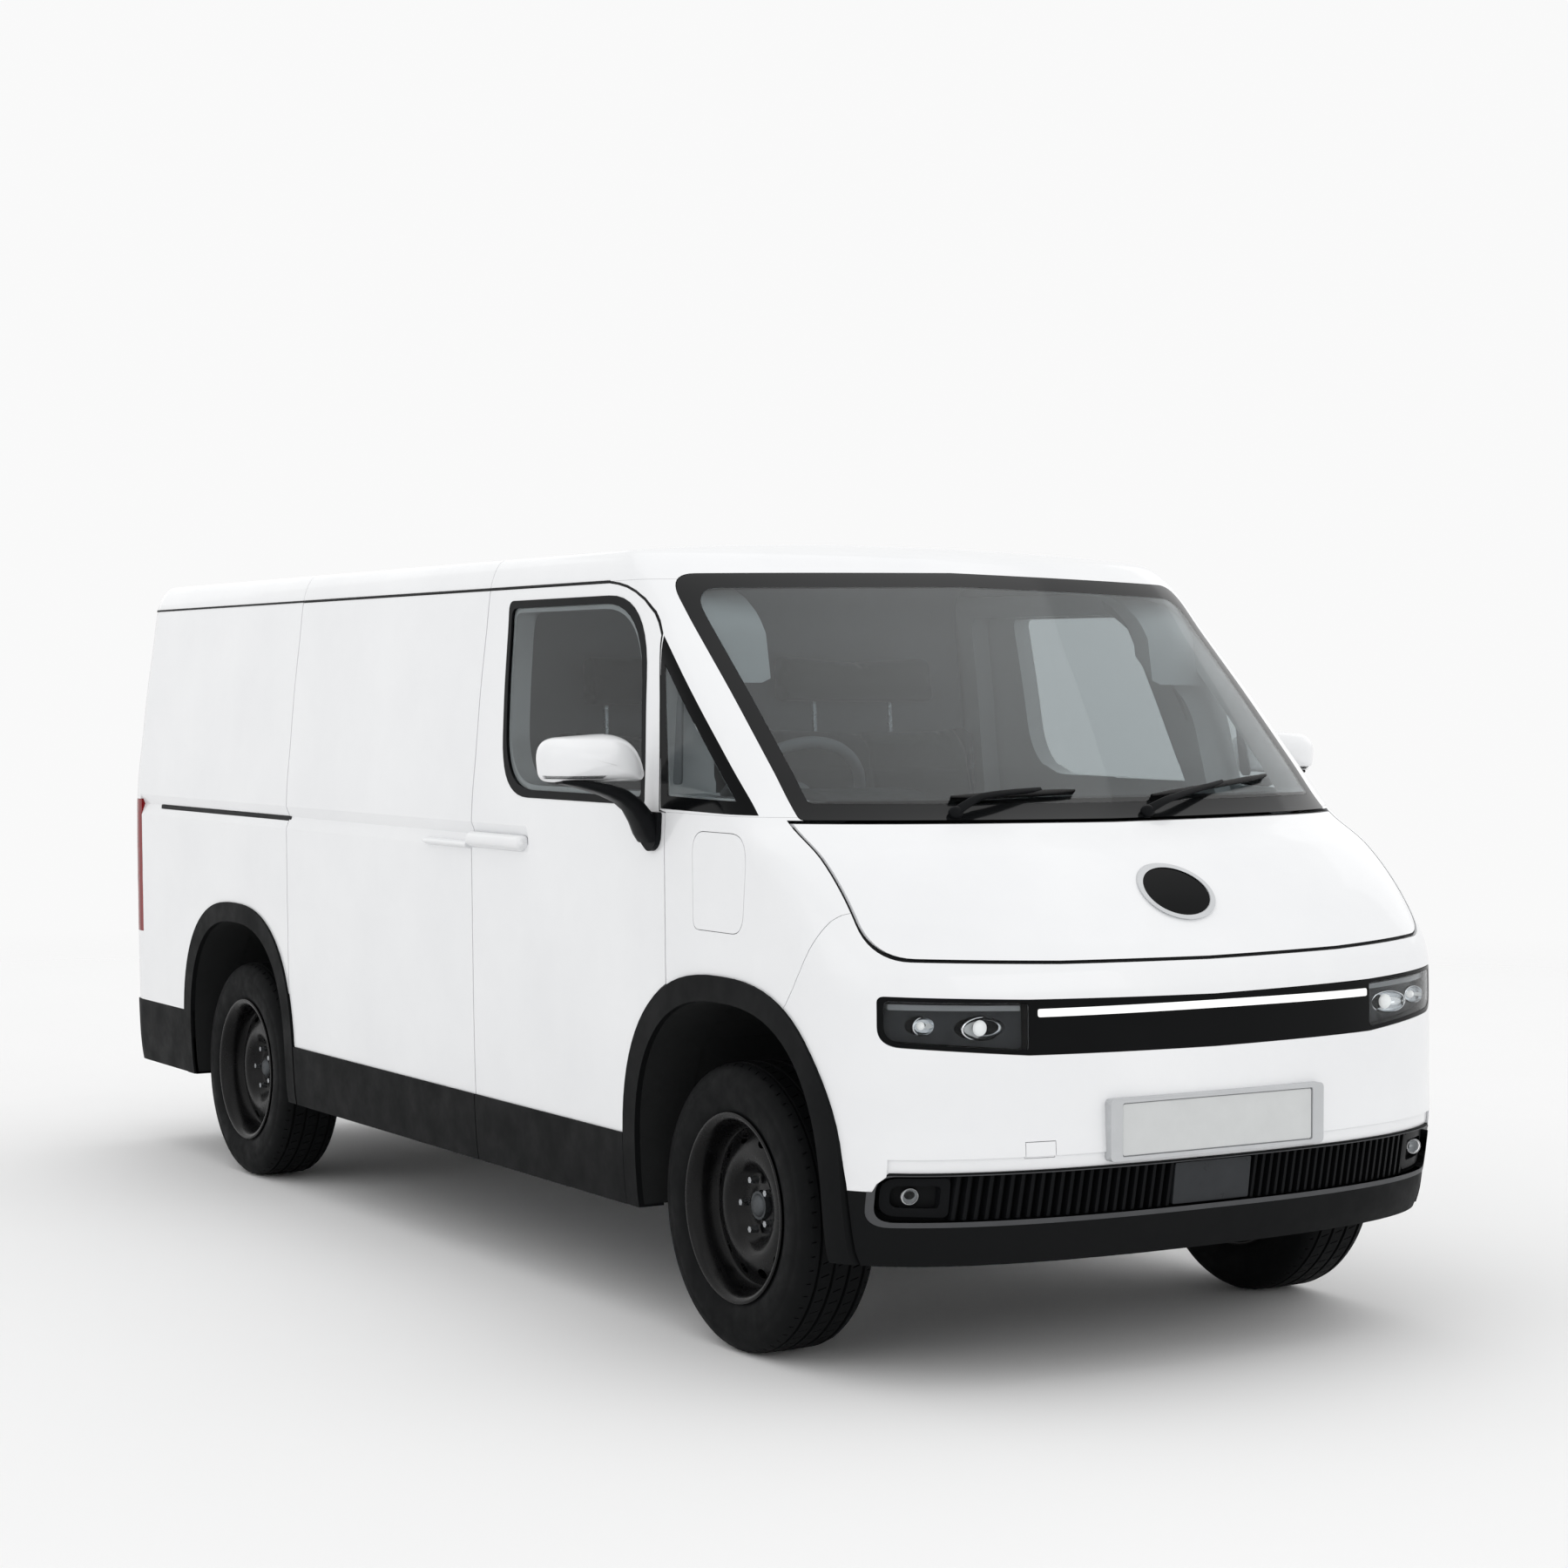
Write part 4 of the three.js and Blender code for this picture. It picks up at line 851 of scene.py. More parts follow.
def frontWing(side):
    half = edges["seam"] / 2
    seam = edges["doorFront"] - half
    upper = fromSide([(seam, 600), (seam, 1192.8), (-2300, 1192.8), (-2300, 1006)] + bumperLine[::-1]
                     + [(-1860, 600)], side)
    wing = less(common(wall, upper, block(-reach, reach, ahead, behind, edges["skirt"], 2000)),
                prism(bonnetOutline(6), ahead, hatchBack, "y"), screenPrism(-0.4),
                frontArch(0.3, *spanOf(side)))
    return less(wing, less(fromSide(flapOutline(0.6), side), hull(24))) if side < 0 else wing


# Side doors, with black cladding along the bottom and body-colour handles
def handleBar(side, y0, y1, z0, z1, proud, blunt):
    # rounded bar: a row of ovals along Y, tapered at its ends
    rows, steps, rings = 40, 20, []
    for r in range(rows + 1):
        t = r / rows
        y = y0 + (y1 - y0) * t
        fromEnds = [abs(y - y0), abs(y1 - y)]
        swell = 1.0
        for distance, closed in zip(fromEnds, blunt):
            if closed:
                swell = min(swell, math.sqrt(max(1 - max(1 - distance / closed, 0) ** 2, 0.0004)))
        middle, tall = (z0 + z1) / 2, (z1 - z0) / 2 * swell
        depth = proud * (0.35 + 0.65 * swell)
        base = sideAt(y, middle)
        rings.append([(side * (base - 3 + (depth + 3) * max(math.cos(a), -0.25)), y,
                       middle + tall * math.sin(a))
                      for a in (2 * math.pi * i / steps for i in range(steps))])
    return loft(rings)


def loft(rings):
    size = len(rings[0])
    points = [p for ring in rings for p in ring]
    faces = [tuple(range(size)), tuple(reversed(range((len(rings) - 1) * size, len(rings) * size)))]
    faces += [(r * size + (i + 1) % size, r * size + i, (r + 1) * size + i, (r + 1) * size + (i + 1) % size)
              for r in range(len(rings) - 1) for i in range(size)]
    mesh = newMesh("loft", points, faces)
    faceOut(mesh)
    return mesh


def faceOut(mesh):
    work = bmesh.new()
    work.from_mesh(mesh)
    bmesh.ops.remove_doubles(work, verts=work.verts, dist=1e-6)
    bmesh.ops.recalc_face_normals(work, faces=work.faces)
    work.to_mesh(mesh)
    work.free()


cladding = dict(proud=5, back=12, top=437)
archTrim = dict(proud=6.5, wide=58, gap=0.5, low=269, high=900, front=-2050, rear=1790)
doorRail = dict(near=9, far=19, gap=1)
tailLamp = dict(inner=742.4, front=2150.4, low=690, high=1119, lens=12, back=44)
doorPane = dict(near=3.2, far=8.8)
windowFrame = dict(proud=1.2, cut=9.4, back=9.2, hole=26, inside=14, outside=-5)
claddingLayer = less(hull(-cladding["proud"], 0), hull(cladding["back"]))
trimLayer = less(hull(-archTrim["proud"], 0), hull(edges["wall"]))
for word, side in sides.items():
    span = spanOf(side)
    piece("bodySide_" + word, bodySide(side), "van_body", "whitePaint", ["body_side_" + word],
          [0, 60, 66, 121])
    piece("frontWing_" + word, frontWing(side), "van_body", "whitePaint", ["front_wing_" + word], [0, 60])
    rail = common(less(hull(doorRail["near"]), hull(doorRail["far"])),
                  fromSide(railSlot(doorRail["gap"], 5), side))
    piece("doorRail_" + word, rail, "van_body", "satinBlack", offsets=[doorRail["near"]])

    shape = fromSide(doorOutline(edges["seam"]), side)
    door = less(common(wall, shape), frontArch(6, *span),
                less(fromSide(doorWindow(0), side), hull(windowFrame["cut"])),
                fromSide(doorWindow(windowFrame["hole"]), side), channelCut(side, -655, -329, True))
    piece("frontDoor_" + word, door, "cab_door_" + word, "whitePaint", ["front_door_" + word], [0, 60])
    lowDoor = block(*span, -1345, edges["doorRear"] - 2, edges["skirt"], cladding["top"])
    piece("doorCladding_" + word, less(common(claddingLayer, lowDoor), frontArch(5, *span)),
          "cab_door_" + word, "blackPlastic", offsets=[-cladding["proud"]])
    border = less(hull(-windowFrame["proud"]), hull(windowFrame["back"]),
                  fromSide(doorWindow(windowFrame["inside"]), side))
    border = common(border, fromSide(doorWindow(windowFrame["outside"]), side))
    piece("windowSeal_" + word, border, "cab_door_" + word, "satinBlack", offsets=[-windowFrame["proud"]])
    pane = common(less(hull(doorPane["near"]), hull(doorPane["far"])), fromSide(doorWindow(1), side))
    piece("doorGlass_" + word, pane, "cab_door_" + word, "sideGlass", ["door_glass_" + word],
          list(doorPane.values()))
    bar = handleBar(side, -640, -335, 1071, 1111, 20, (26, 0))
    piece("frontHandle_" + word, bar, "cab_door_" + word, "whitePaint")

    slide = common(wall, block(*span, edges["doorRear"] + 2, edges["slideRear"] - 2, edges["skirt"],
                               gutter - 5))
    slide = less(slide, rearArch(6, *span), channelCut(side, -331, 916))
    piece("slidingDoor_" + word, slide, "van_body", "whitePaint", ["sliding_door_" + word], [0, 60])
    lowSlide = block(*span, edges["doorRear"] + 2, edges["slideRear"] - 2, edges["skirt"], cladding["top"])
    piece("slideCladding_" + word, less(common(claddingLayer, lowSlide), rearArch(5, *span)), "van_body",
          "blackPlastic", offsets=[-cladding["proud"]])
    bar = handleBar(side, -325, -48, 1066, 1086, 17, (0, 30))
    piece("slideHandle_" + word, bar, "van_body", "whitePaint")

    # black lips round both arches
    for end, arch in (("front", frontArch), ("rear", rearArch)):
        ringTool = less(arch(archTrim["gap"], *span, bottom=archTrim["low"]),
                        arch(-archTrim["wide"], *span))
        lipMesh = common(trimLayer, ringTool, block(-reach, reach, archTrim["front"], archTrim["rear"],
                                                    archTrim["low"], archTrim["high"]))
        piece("archLip_%s_%s" % (end, word), lipMesh, "van_body", "blackPlastic",
              offsets=[-archTrim["proud"], edges["wall"]])

    # quarter window: a black border, dark glass and a pale strip of pillar trim behind it
    inside = fromSide(quarterWindow(30), side)
    layer = common(glassLayer, fromSide(quarterWindow(1), side))
    piece("quarterBorder_" + word, less(layer, inside), "van_body", "glossBlack", offsets=[0, 6])
    piece("quarterGlass_" + word, common(layer, fromSide(quarterWindow(31), side)), "van_body", "sideGlass",
          ["quarter_glass_" + word], [0, 6])
    stripOutline = rounded([(-1352, 1470, 8), (-1372, 1462, 8), (-1400, 1256, 14), (-1362, 1256, 14)], 6)
    piece("pillarTrim_" + word, common(less(hull(7), hull(12)), fromSide(stripOutline, side)), "van_body",
          "paleTrim", offsets=[7])

    # tail lamp: a red lens over a dark back
    lampTool = block(side * tailLamp["inner"], side * reach, tailLamp["front"], behind, tailLamp["low"],
                     tailLamp["high"])
    lens = common(less(outer, hull(tailLamp["lens"])), lampTool)
    piece("tailLamp_" + word, lens, "van_body", "redLens", ["tail_lamp_" + word], [0, tailLamp["lens"]])
    backing = common(less(hull(tailLamp["lens"] + 1), hull(tailLamp["back"])), lampTool)
    piece("tailLampBack_" + word, backing, "van_body", "satinBlack", offsets=[tailLamp["lens"] + 1])
print("sides ready")

# Windscreen: clear glass inside a black printed border
border = common(glassLayer, screenPrism(1))
piece("screenBorder", less(border, screenPrism(35)), "van_body", "screenPrint", offsets=[0, 6])
piece("screenGlass", common(glassLayer, screenPrism(35.3)), "van_body", "windscreenGlass", ["windscreen"],
      [0, 6])

# Rear bumper and rear doors, guessed from the kind of van
rear = dict(step=15, doorGap=4, doorEdge=736, doorLow=472, panelIn=60, panelOut=690, pressed=5,
            hinges=(640, 1090, 1560), hingeTall=60, hingeProud=9)
rearShell = less(hull(0, 0, rear["step"]), hull(60))
rearShell = common(rearShell, block(-reach, reach, edges["rearArchY"], behind, edges["skirt"],
                                    edges["rearBumperTop"]))
rearShell = less(rearShell, rearArch(-58))
piece("rearBumper", rearShell, "van_body", "blackPlastic", ["rear_bumper"], [0, 60])
for word, side in sides.items():
    door = common(wall, block(side * rear["doorGap"], side * rear["doorEdge"], tailFront, behind,
                              rear["doorLow"], gutter - 5))
    near, far = side * rear["panelIn"], side * rear["panelOut"]
    lowPanel = rounded([(near, 560, 30), (far, 560, 30), (far, 1040, 30), (near, 1040, 30)], 8)
    highPanel = rounded([(near, 1110, 30), (far, 1110, 30), (side * 670, 1640, 60), (near, 1640, 60)], 8)
    for outline in (lowPanel, highPanel):
        door = less(door, less(prism(outline, tailFront, behind, "y"), hull(rear["pressed"])))
    piece("rearDoor_" + word, door, "back_door_" + word, "whitePaint", ["rear_door_" + word],
          [0, rear["pressed"], edges["wall"]])
    for z in rear["hinges"]:
        pin = prism(rounded([(side * 726, 2100, 0), (side * 748, 2100, 0), (side * 748, 2300, 6),
                             (side * 726, 2300, 6)]),
                    z, z + rear["hingeTall"], "z")
        hinge = common(less(hull(-rear["hingeProud"]), hull(4)), pin)
        piece("rearHinge_%s_%d" % (word, z), hinge, "back_door_" + word, "whitePaint",
              offsets=[-rear["hingeProud"]])
print("body ready")


# Geometry Nodes: copies of one shape spread by a rule, turned into a plain mesh
def realized(name, build, inputs, finish):
    tree = bpy.data.node_groups.new(name, "GeometryNodeTree")
    tree.interface.new_socket("Geometry", in_out="OUTPUT", socket_type="NodeSocketGeometry")
    identifiers = {}
    for key, value in inputs.items():
        kind = "NodeSocketInt" if isinstance(value, int) else "NodeSocketFloat"
        identifiers[key] = tree.interface.new_socket(key, in_out="INPUT", socket_type=kind).identifier
    start = tree.nodes.new("NodeGroupInput")
    end = tree.nodes.new("NodeGroupOutput")
    copies = build(tree, start.outputs)
    plain = addNode(tree, "GeometryNodeRealizeInstances", {0: copies})
    painted = addNode(tree, "GeometryNodeSetMaterial", {0: plain.outputs[0]})
    painted.inputs["Material"].default_value = materials[finish]
    tree.links.new(painted.outputs[0], end.inputs[0])
    holder = bpy.data.objects.new(name + "Maker", bpy.data.meshes.new(name + "Maker"))
    bpy.context.scene.collection.objects.link(holder)
    modifier = holder.modifiers.new(name, "NODES")
    modifier.node_group = tree
    for key, value in inputs.items():
        modifier[identifiers[key]] = value
    graph = bpy.context.evaluated_depsgraph_get()
    graph.update()
    mesh = bpy.data.meshes.new_from_object(holder.evaluated_get(graph))
    bpy.data.objects.remove(holder)
    return mesh


def maths(tree, operation, a, b):
    return addNode(tree, "ShaderNodeMath", {0: a, 1: b}, operation=operation).outputs[0]


# Lower bumper: a long recess with upright slats, a plain middle and a fog lamp at each end
lower = dict(half=768, low=364, high=462, recess=27, slatFrom=116, slatTo=618, slats=23, slatDeep=16,
             slatWide=7.5, slatTall=100, slatLength=900, slatMiddle=413, fog=(700, 417))
recessOutline = rounded([(-lower["half"], lower["low"], 34), (lower["half"], lower["low"], 34),
                         (lower["half"], lower["high"], 34), (-lower["half"], lower["high"], 34)], 8)
lipOutline = rounded([(-lower["half"] - 12, lower["low"] - 11, 40),
                      (lower["half"] + 12, lower["low"] - 11, 40),
                      (lower["half"] + 12, lower["high"] + 2, 40),
                      (-lower["half"] - 12, lower["high"] + 2, 40)], 8)
lowZone = prism([(-reach, edges["skirt"]), (reach, edges["skirt"])] + bumperEdge(-0.2)[::-1], ahead,
                grilleBack, "y")
recessTool = prism(recessOutline, ahead, lampBack, "y")
lowBody = less(common(wall, lowZone), frontArch(0.2), less(recessTool, hull(lower["recess"])))
piece("lowerBumper", lowBody, "van_body", "blackPlastic", ["lower_bumper"], [0, 27, 60])
lipMesh = less(common(less(hull(-1.2), hull(14)), prism(lipOutline, ahead, grilleBack, "y"), lowZone),
               recessTool)
piece("grilleLip", lipMesh, "van_body", "lipGrey", offsets=[-1.2])
middle = prism(rounded([(-104, 368, 4), (104, 368, 4), (104, 458, 4), (-104, 458, 4)], 4), ahead,
               grilleBack, "y")
piece("grilleMiddle", common(less(hull(9), hull(26.6)), middle), "van_body", "lampGrey", offsets=[9])


def slatRow(tree, values):
    # upright slats on a line across the nose, each one leaning a little
    bar = addNode(tree, "GeometryNodeMeshCube", {"Size": (0.001, 0.001, 0.001)})
    size = addNode(tree, "ShaderNodeCombineXYZ", {"X": values["Slat width"], "Y": values["Slat depth"],
                                                  "Z": values["Slat height"]})
    grown = addNode(tree, "ShaderNodeVectorMath", {0: size.outputs[0], "Scale": 1000.0}, operation="SCALE")
    slat = addNode(tree, "GeometryNodeTransform", {"Geometry": bar.outputs[0], "Scale": grown.outputs[0],
                                                   "Rotation": (0.0, 0.06, 0.0)})
    line = addNode(tree, "GeometryNodeMeshLine", {"Count": values["Slats"]}, mode="END_POINTS")
    first = addNode(tree, "ShaderNodeCombineXYZ", {"X": values["From"], "Y": 0.0, "Z": values["Height"]})
    last = addNode(tree, "ShaderNodeCombineXYZ", {"X": values["To"], "Y": 0.0, "Z": values["Height"]})
    tree.links.new(first.outputs[0], line.inputs["Start Location"])
    tree.links.new(last.outputs[0], line.inputs["Offset"])
    return addNode(tree, "GeometryNodeInstanceOnPoints", {"Points": line.outputs[0],
                                                          "Instance": slat.outputs[0]}).outputs[0]


for word, side in sides.items():
    inputs = {"Slats": lower["slats"], "Slat width": lower["slatWide"] / 1000,
              "Slat depth": lower["slatLength"] / 1000, "Slat height": lower["slatTall"] / 1000,
              "From": side * lower["slatFrom"] / 1000, "To": side * lower["slatTo"] / 1000,
              "Height": lower["slatMiddle"] / 1000}
    bars = realized("slats_" + word, slatRow, inputs, "satinBlack")
    for vertex in bars.vertices:
        vertex.co.y -= 2.0
    faceOut(bars)
    slats = common(less(hull(lower["recess"] - lower["slatDeep"] - 3), hull(26.8)), bars,
                   block(-640, 640, ahead, lampBack, lower["low"] + 2, lower["high"] - 2))
    piece("grilleSlats_" + word, slats, "van_body", "satinBlack", offsets=[8])
    frame = rounded([(side * 628, 372, 14), (side * 752, 376, 30), (side * 752, 456, 30),
                     (side * 628, 456, 14)], 6)
    hole = rounded([(side * 646, 392, 10), (side * 736, 394, 18), (side * 736, 440, 18),
                    (side * 646, 440, 10)], 6)
    fog = less(common(less(hull(12), hull(26.8)), prism(frame, ahead, lampBack, "y")),
               prism(hole, ahead, lampBack, "y"))
    piece("fogFrame_" + word, fog, "van_body", "satinBlack", offsets=[12])
    x, z = side * lower["fog"][0], lower["fog"][1]
    y = noseAt(x, z, 22)
    piece("fogBowl_" + word, bowl((x, y, z), 21, 17, 20), "van_body", "silverTrim", sharp=50)
    piece("fogLens_" + word, ball((x, y - 1, z), (20, 5, 16)), "van_body", "lampGlass")
print("lower bumper ready")

# Arch liners hide the panels' edges inside the arches
for word, side in sides.items():
    for end, arch in (("front", frontArch), ("rear", rearArch)):
        tool = less(arch(-50, side * 690, side * reach), arch(-58.4))
        liner = common(hull(8), tool, block(-reach, reach, -2000, 1760, 275, 900))
        piece("archLiner_%s_%s" % (end, word), liner, "van_body", "underseal", offsets=[8])


# Wheels
wheel = dict(centre=710, height=322.2, radius=321.8, width=195, rim=209, front=-1580, rear=1350)


def lathe(profile, side, axleY, segments=96, closed=True):
    # a solid of revolution about the wheel's axle, from (radius, outwards) points
    points, faces = [], []
    for radius, out in profile:
        for i in range(segments):
            angle = 2 * math.pi * i / segments
            points.append((side * (wheel["centre"] + out), axleY + radius * math.sin(angle),
                           wheel["height"] + radius * math.cos(angle)))
    rows = len(profile)
    for r in range(rows if closed else rows - 1):
        for i in range(segments):
            j, n = (i + 1) % segments, (r + 1) % rows
            faces.append((r * segments + i, r * segments + j, n * segments + j, n * segments + i))
    mesh = newMesh("turned", points, faces)
    faceOut(mesh)
    return mesh


tyre = dict(grooves=(-58, -20, 20, 58), grooveWide=8, grooveDeep=7, blocks=62)


def tyreProfile():
    half, radius = wheel["width"] / 2, wheel["radius"]
    side = [(203, half - 15), (208, half - 11), (214, half - 10.5), (222, half - 5), (240, half - 1.6),
            (258, half), (274, half - 0.8), (279, half - 2.6), (283, half - 2.2), (296, half - 5.2),
            (306, half - 10.5), (313, half - 17), (317.6, half - 24)]
    tread = []
    for centre in reversed(tyre["grooves"]):
        wide, deep = tyre["grooveWide"] / 2, tyre["grooveDeep"]
        crown = radius - abs(centre) * 0.02
        tread += [(crown, centre + wide), (crown - deep, centre + wide - 1.5),
                  (crown - deep, centre - wide + 1.5), (crown, centre - wide)]
    other = [(r, -out) for r, out in reversed(side)]
    inner = [(200, -half + 16), (200, half - 16)]
    return side + tread + other + inner


def wedgeRing(tree, values):
    # thin cutters round the shoulder of a tyre
    bar = addNode(tree, "GeometryNodeMeshCube", {"Size": (0.030, 0.0032, 0.016)})
    turned = addNode(tree, "GeometryNodeTransform",
                     {"Geometry": bar.outputs[0], "Rotation": (0.0, 0.0, 0.24)})
    circle = addNode(tree, "GeometryNodeMeshCircle",
                     {"Vertices": values["Cuts"], "Radius": values["Radius"]})
    index = addNode(tree, "GeometryNodeInputIndex")
    angle = maths(tree, "DIVIDE", maths(tree, "MULTIPLY", index.outputs[0], 2 * math.pi), values["Cuts"])
    turn = addNode(tree, "ShaderNodeCombineXYZ", {"Z": angle})
    upright = addNode(tree, "GeometryNodeTransform",
                      {"Geometry": turned.outputs[0], "Rotation": (0.0, 1.5708, 0.0)})
    return addNode(tree, "GeometryNodeInstanceOnPoints",
                   {"Points": circle.outputs[0], "Instance": upright.outputs[0],
                                                          "Rotation": turn.outputs[0]}).outputs[0]


def treadCutters(side, axleY):
    # Two rows of shoulder cuts and three of centre cuts, all round: offset, length and phase
    rows = []
    for out, length, phase in ((84, 30, 0.0), (39, 20, 0.35), (0, 20, 0.6), (-39, 20, 0.85),
                               (-84, 30, 0.2)):
        mesh = realized("cuts", wedgeRing, {"Cuts": tyre["blocks"], "Radius": wheel["radius"] / 1000},
                        "tyreRubber")
        points = np.empty(len(mesh.vertices) * 3)
        mesh.vertices.foreach_get("co", points)
        points = points.reshape(-1, 3) * 1000
        turn = phase * 2 * math.pi / tyre["blocks"]
        cos, sin = math.cos(turn), math.sin(turn)
        u, v, w = points.T
        placed = np.column_stack([side * (wheel["centre"] + out) + w * length / 30,
                                  axleY + u * cos - v * sin, wheel["height"] + u * sin + v * cos])
        mesh.vertices.foreach_set("co", (placed / 1000).ravel())
        faceOut(mesh)
        rows.append(mesh)
    return rows


rim = dict(holes=12, holeAt=150, holeWide=15, holeTall=11, nuts=5, nutAt=58)
rimProfile = [(34, 4), (46, 2), (66, 0), (80, 4), (92, 22), (102, 33), (112, 36), (124, 34), (140, 28),
              (160, 20), (174, 8), (181, -10), (184, -40), (186, -70), (190, -82), (203, -83), (209, -89),
              (211, -92), (207, -93), (199, -90), (196, -86), (192, -66), (190, -36), (188, -12), (190, 14),
              (188, 46), (190, 66), (199, 74), (201, 84), (206, 88), (210, 90), (211.5, 93), (209, 95),
              (204, 94.5), (197, 90), (193, 82), (187, 72), (183, 54), (181, 30), (176, 26), (164, 32),
              (144, 42), (126, 48), (112, 50), (98, 46), (88, 34), (76, 16), (66, 10), (46, 12), (34, 14)]


def rimMesh(side, axleY):
    mesh = lathe(rimProfile, side, axleY)
    for i in range(rim["holes"]):
        angle = 2 * math.pi * (i + 0.5) / rim["holes"]
        y, z = axleY + rim["holeAt"] * math.sin(angle), wheel["height"] + rim["holeAt"] * math.cos(angle)
        outline = []
        for k in range(20):
            t = 2 * math.pi * k / 20
            along, out = rim["holeWide"] * math.cos(t), rim["holeTall"] * math.sin(t)
            outline.append((y + along * math.cos(angle) + out * math.sin(angle),
                            z - along * math.sin(angle) + out * math.cos(angle)))
        mesh = less(mesh, prism(outline, side * 640, side * 800, "x"))
    return mesh


def ringCopies(tree, values):
    # one small turned shape, repeated round the axle
    nut = addNode(tree, "GeometryNodeMeshCone",
                  {"Vertices": 6, "Radius Top": 0.0075, "Radius Bottom": 0.0100,
                                                 "Depth": 0.020})
    circle = addNode(tree, "GeometryNodeMeshCircle",
                     {"Vertices": values["Nuts"], "Radius": values["Radius"]})
    return addNode(tree, "GeometryNodeInstanceOnPoints", {"Points": circle.outputs[0],
                                                          "Instance": nut.outputs[0]}).outputs[0]


hubCap = [(0.5, 34), (14, 34), (22, 31), (26, 26), (29, 12), (33, 8), (33, 2), (0.5, 2)]
for word, side in sides.items():
    for end in ("front", "rear"):
        axleY, body = wheel[end], "wheel_%s_%s" % (end, word)
        rubber = less(lathe(tyreProfile(), side, axleY, 144), *treadCutters(side, axleY))
        piece("tyre%s_%s" % (end.capitalize(), word), rubber, body, "tyreRubber",
              ["tyre_%s_%s" % (end, word)], sharp=38)
        piece("rim%s_%s" % (end.capitalize(), word), rimMesh(side, axleY), body, "blackSteel",
              ["rim_%s_%s" % (end, word)], sharp=50)
        nuts = realized("nuts", ringCopies, {"Nuts": rim["nuts"], "Radius": rim["nutAt"] / 1000},
                        "brightSteel")
        for vertex in nuts.vertices:
            u, v, w = vertex.co
            vertex.co = (side * (wheel["centre"] / 1000 + 0.018 + w), axleY / 1000 + u,
                         wheel["height"] / 1000 + v)
        faceOut(nuts)
        piece("nuts%s_%s" % (end.capitalize(), word), nuts, body, "brightSteel", sharp=20)
        piece("hub%s_%s" % (end.capitalize(), word), lathe(hubCap, side, axleY, 40, False), body,
              "castMetal")
print("wheels ready")


def sweep(path, half, tall, normals):
    # a bar of changing section along a path: a half width, half height and upward way for each point
    rings = []
    path = [Vector(p) for p in path]
    for i, point in enumerate(path):
        along = (path[min(i + 1, len(path) - 1)] - path[max(i - 1, 0)]).normalized()
        up = normals[i]
        across = along.cross(up).normalized()
        up = across.cross(along).normalized()
        ring = []
        for k in range(12):
            angle = 2 * math.pi * (k + 0.5) / 12
            u = math.copysign(abs(math.cos(angle)) ** 0.5, math.cos(angle)) * half[i]
            v = math.copysign(abs(math.sin(angle)) ** 0.5, math.sin(angle)) * tall[i]
            ring.append(tuple(point + across * u + up * v))
        rings.append(ring)
    return loft(rings)


# Mirrors: a white cap over a black foot and arm, and the glass behind
mirror = dict(front=-1347, back=-1238, rows=14)


def capOutline(side, grow, steps=10):
    corners = [(862, 1262, 22), (1118, 1262, 26), (1130, 1360, 56), (884, 1376, 96)]
    return rounded([(side * (u + grow * (1 if u > 1000 else -1)), v + grow * (1 if v > 1300 else -1), r)
                    for u, v, r in corners], steps)


def aboutMiddle(outline, y, share):
    mu = sum(u for u, v in outline) / len(outline)
    mv = sum(v for u, v in outline) / len(outline)
    return [(mu + (u - mu) * share, y, mv + (v - mv) * share) for u, v in outline]


for word, side in sides.items():
    body = "cab_door_" + word
    outline = capOutline(side, 0)
    rings = []
    for i in range(mirror["rows"] + 1):
        t = i / mirror["rows"]
        share = math.sqrt(max(1 - (1 - t) ** 2.4, 0.0)) if i else 0.12
        rings.append(aboutMiddle(outline, mirror["front"] + 84 * t, 0.12 + 0.88 * share))
    rings += [aboutMiddle(outline, mirror["front"] + 98, 0.99),
              aboutMiddle(outline, mirror["front"] + 106, 0.955)]
    cap = loft(rings)
    groove = block(side * 985, side * 1140, ahead, -1270, 1270, 1277)
    shrunk = loft([[((x - side * 1000) * 0.965 + side * 1000, (y + 1290) * 0.93 - 1290,
                     (z - 1315) * 0.93 + 1315)
                    for x, y, z in ring] for ring in rings])
    piece("mirrorCap_" + word, less(cap, less(groove, shrunk)), body, "whitePaint", ["mirror_" + word])
    piece("mirrorSlot_" + word, common(shrunk, block(side * 980, side * 1145, ahead, -1265, 1269, 1278)),
          body, "satinBlack")
    glass = [aboutMiddle(outline, y, 0.86) for y in (mirror["front"] + 106.2, mirror["front"] + 107.6)]
    piece("mirrorGlass_" + word, loft(glass), body, "mirrorGlass")
    foot = rounded([(-1330, 1192, 8), (-1330, 1118, 26), (-1290, 1098, 18), (-1236, 1132, 40),
                    (-1190, 1192, 8)], 8)
    piece("mirrorFoot_" + word, common(less(hull(-13), hull(0.4)), fromSide(foot, side)), body,
          "satinBlack", offsets=[-13])
    route = [(850, -1288, 1136), (862, -1288, 1152), (878, -1289, 1180), (900, -1290, 1208),
             (930, -1290, 1229), (968, -1290, 1243), (1010, -1290, 1253), (1050, -1290, 1260),
             (1085, -1290, 1264)]
    halves = [40, 38, 34, 32, 32, 34, 34, 30, 18]
    talls = [24, 23, 21, 19, 17, 14, 11, 8, 5]
    arm = sweep([(side * x, y, z) for x, y, z in route], halves, talls, [Vector((0, 0.02, 1))] * len(route))
    piece("mirrorArm_" + word, less(arm, hull(0.4)), body, "satinBlack", sharp=50)
print("mirrors ready")

# Charge flap, wipers and rear fittings
flapMesh = common(less(outer, hull(10)), fromSide(flapOutline(-0.9), -1))
piece("chargeFlap", flapMesh, "flap", "whitePaint", ["charge_flap"], [0, 10])


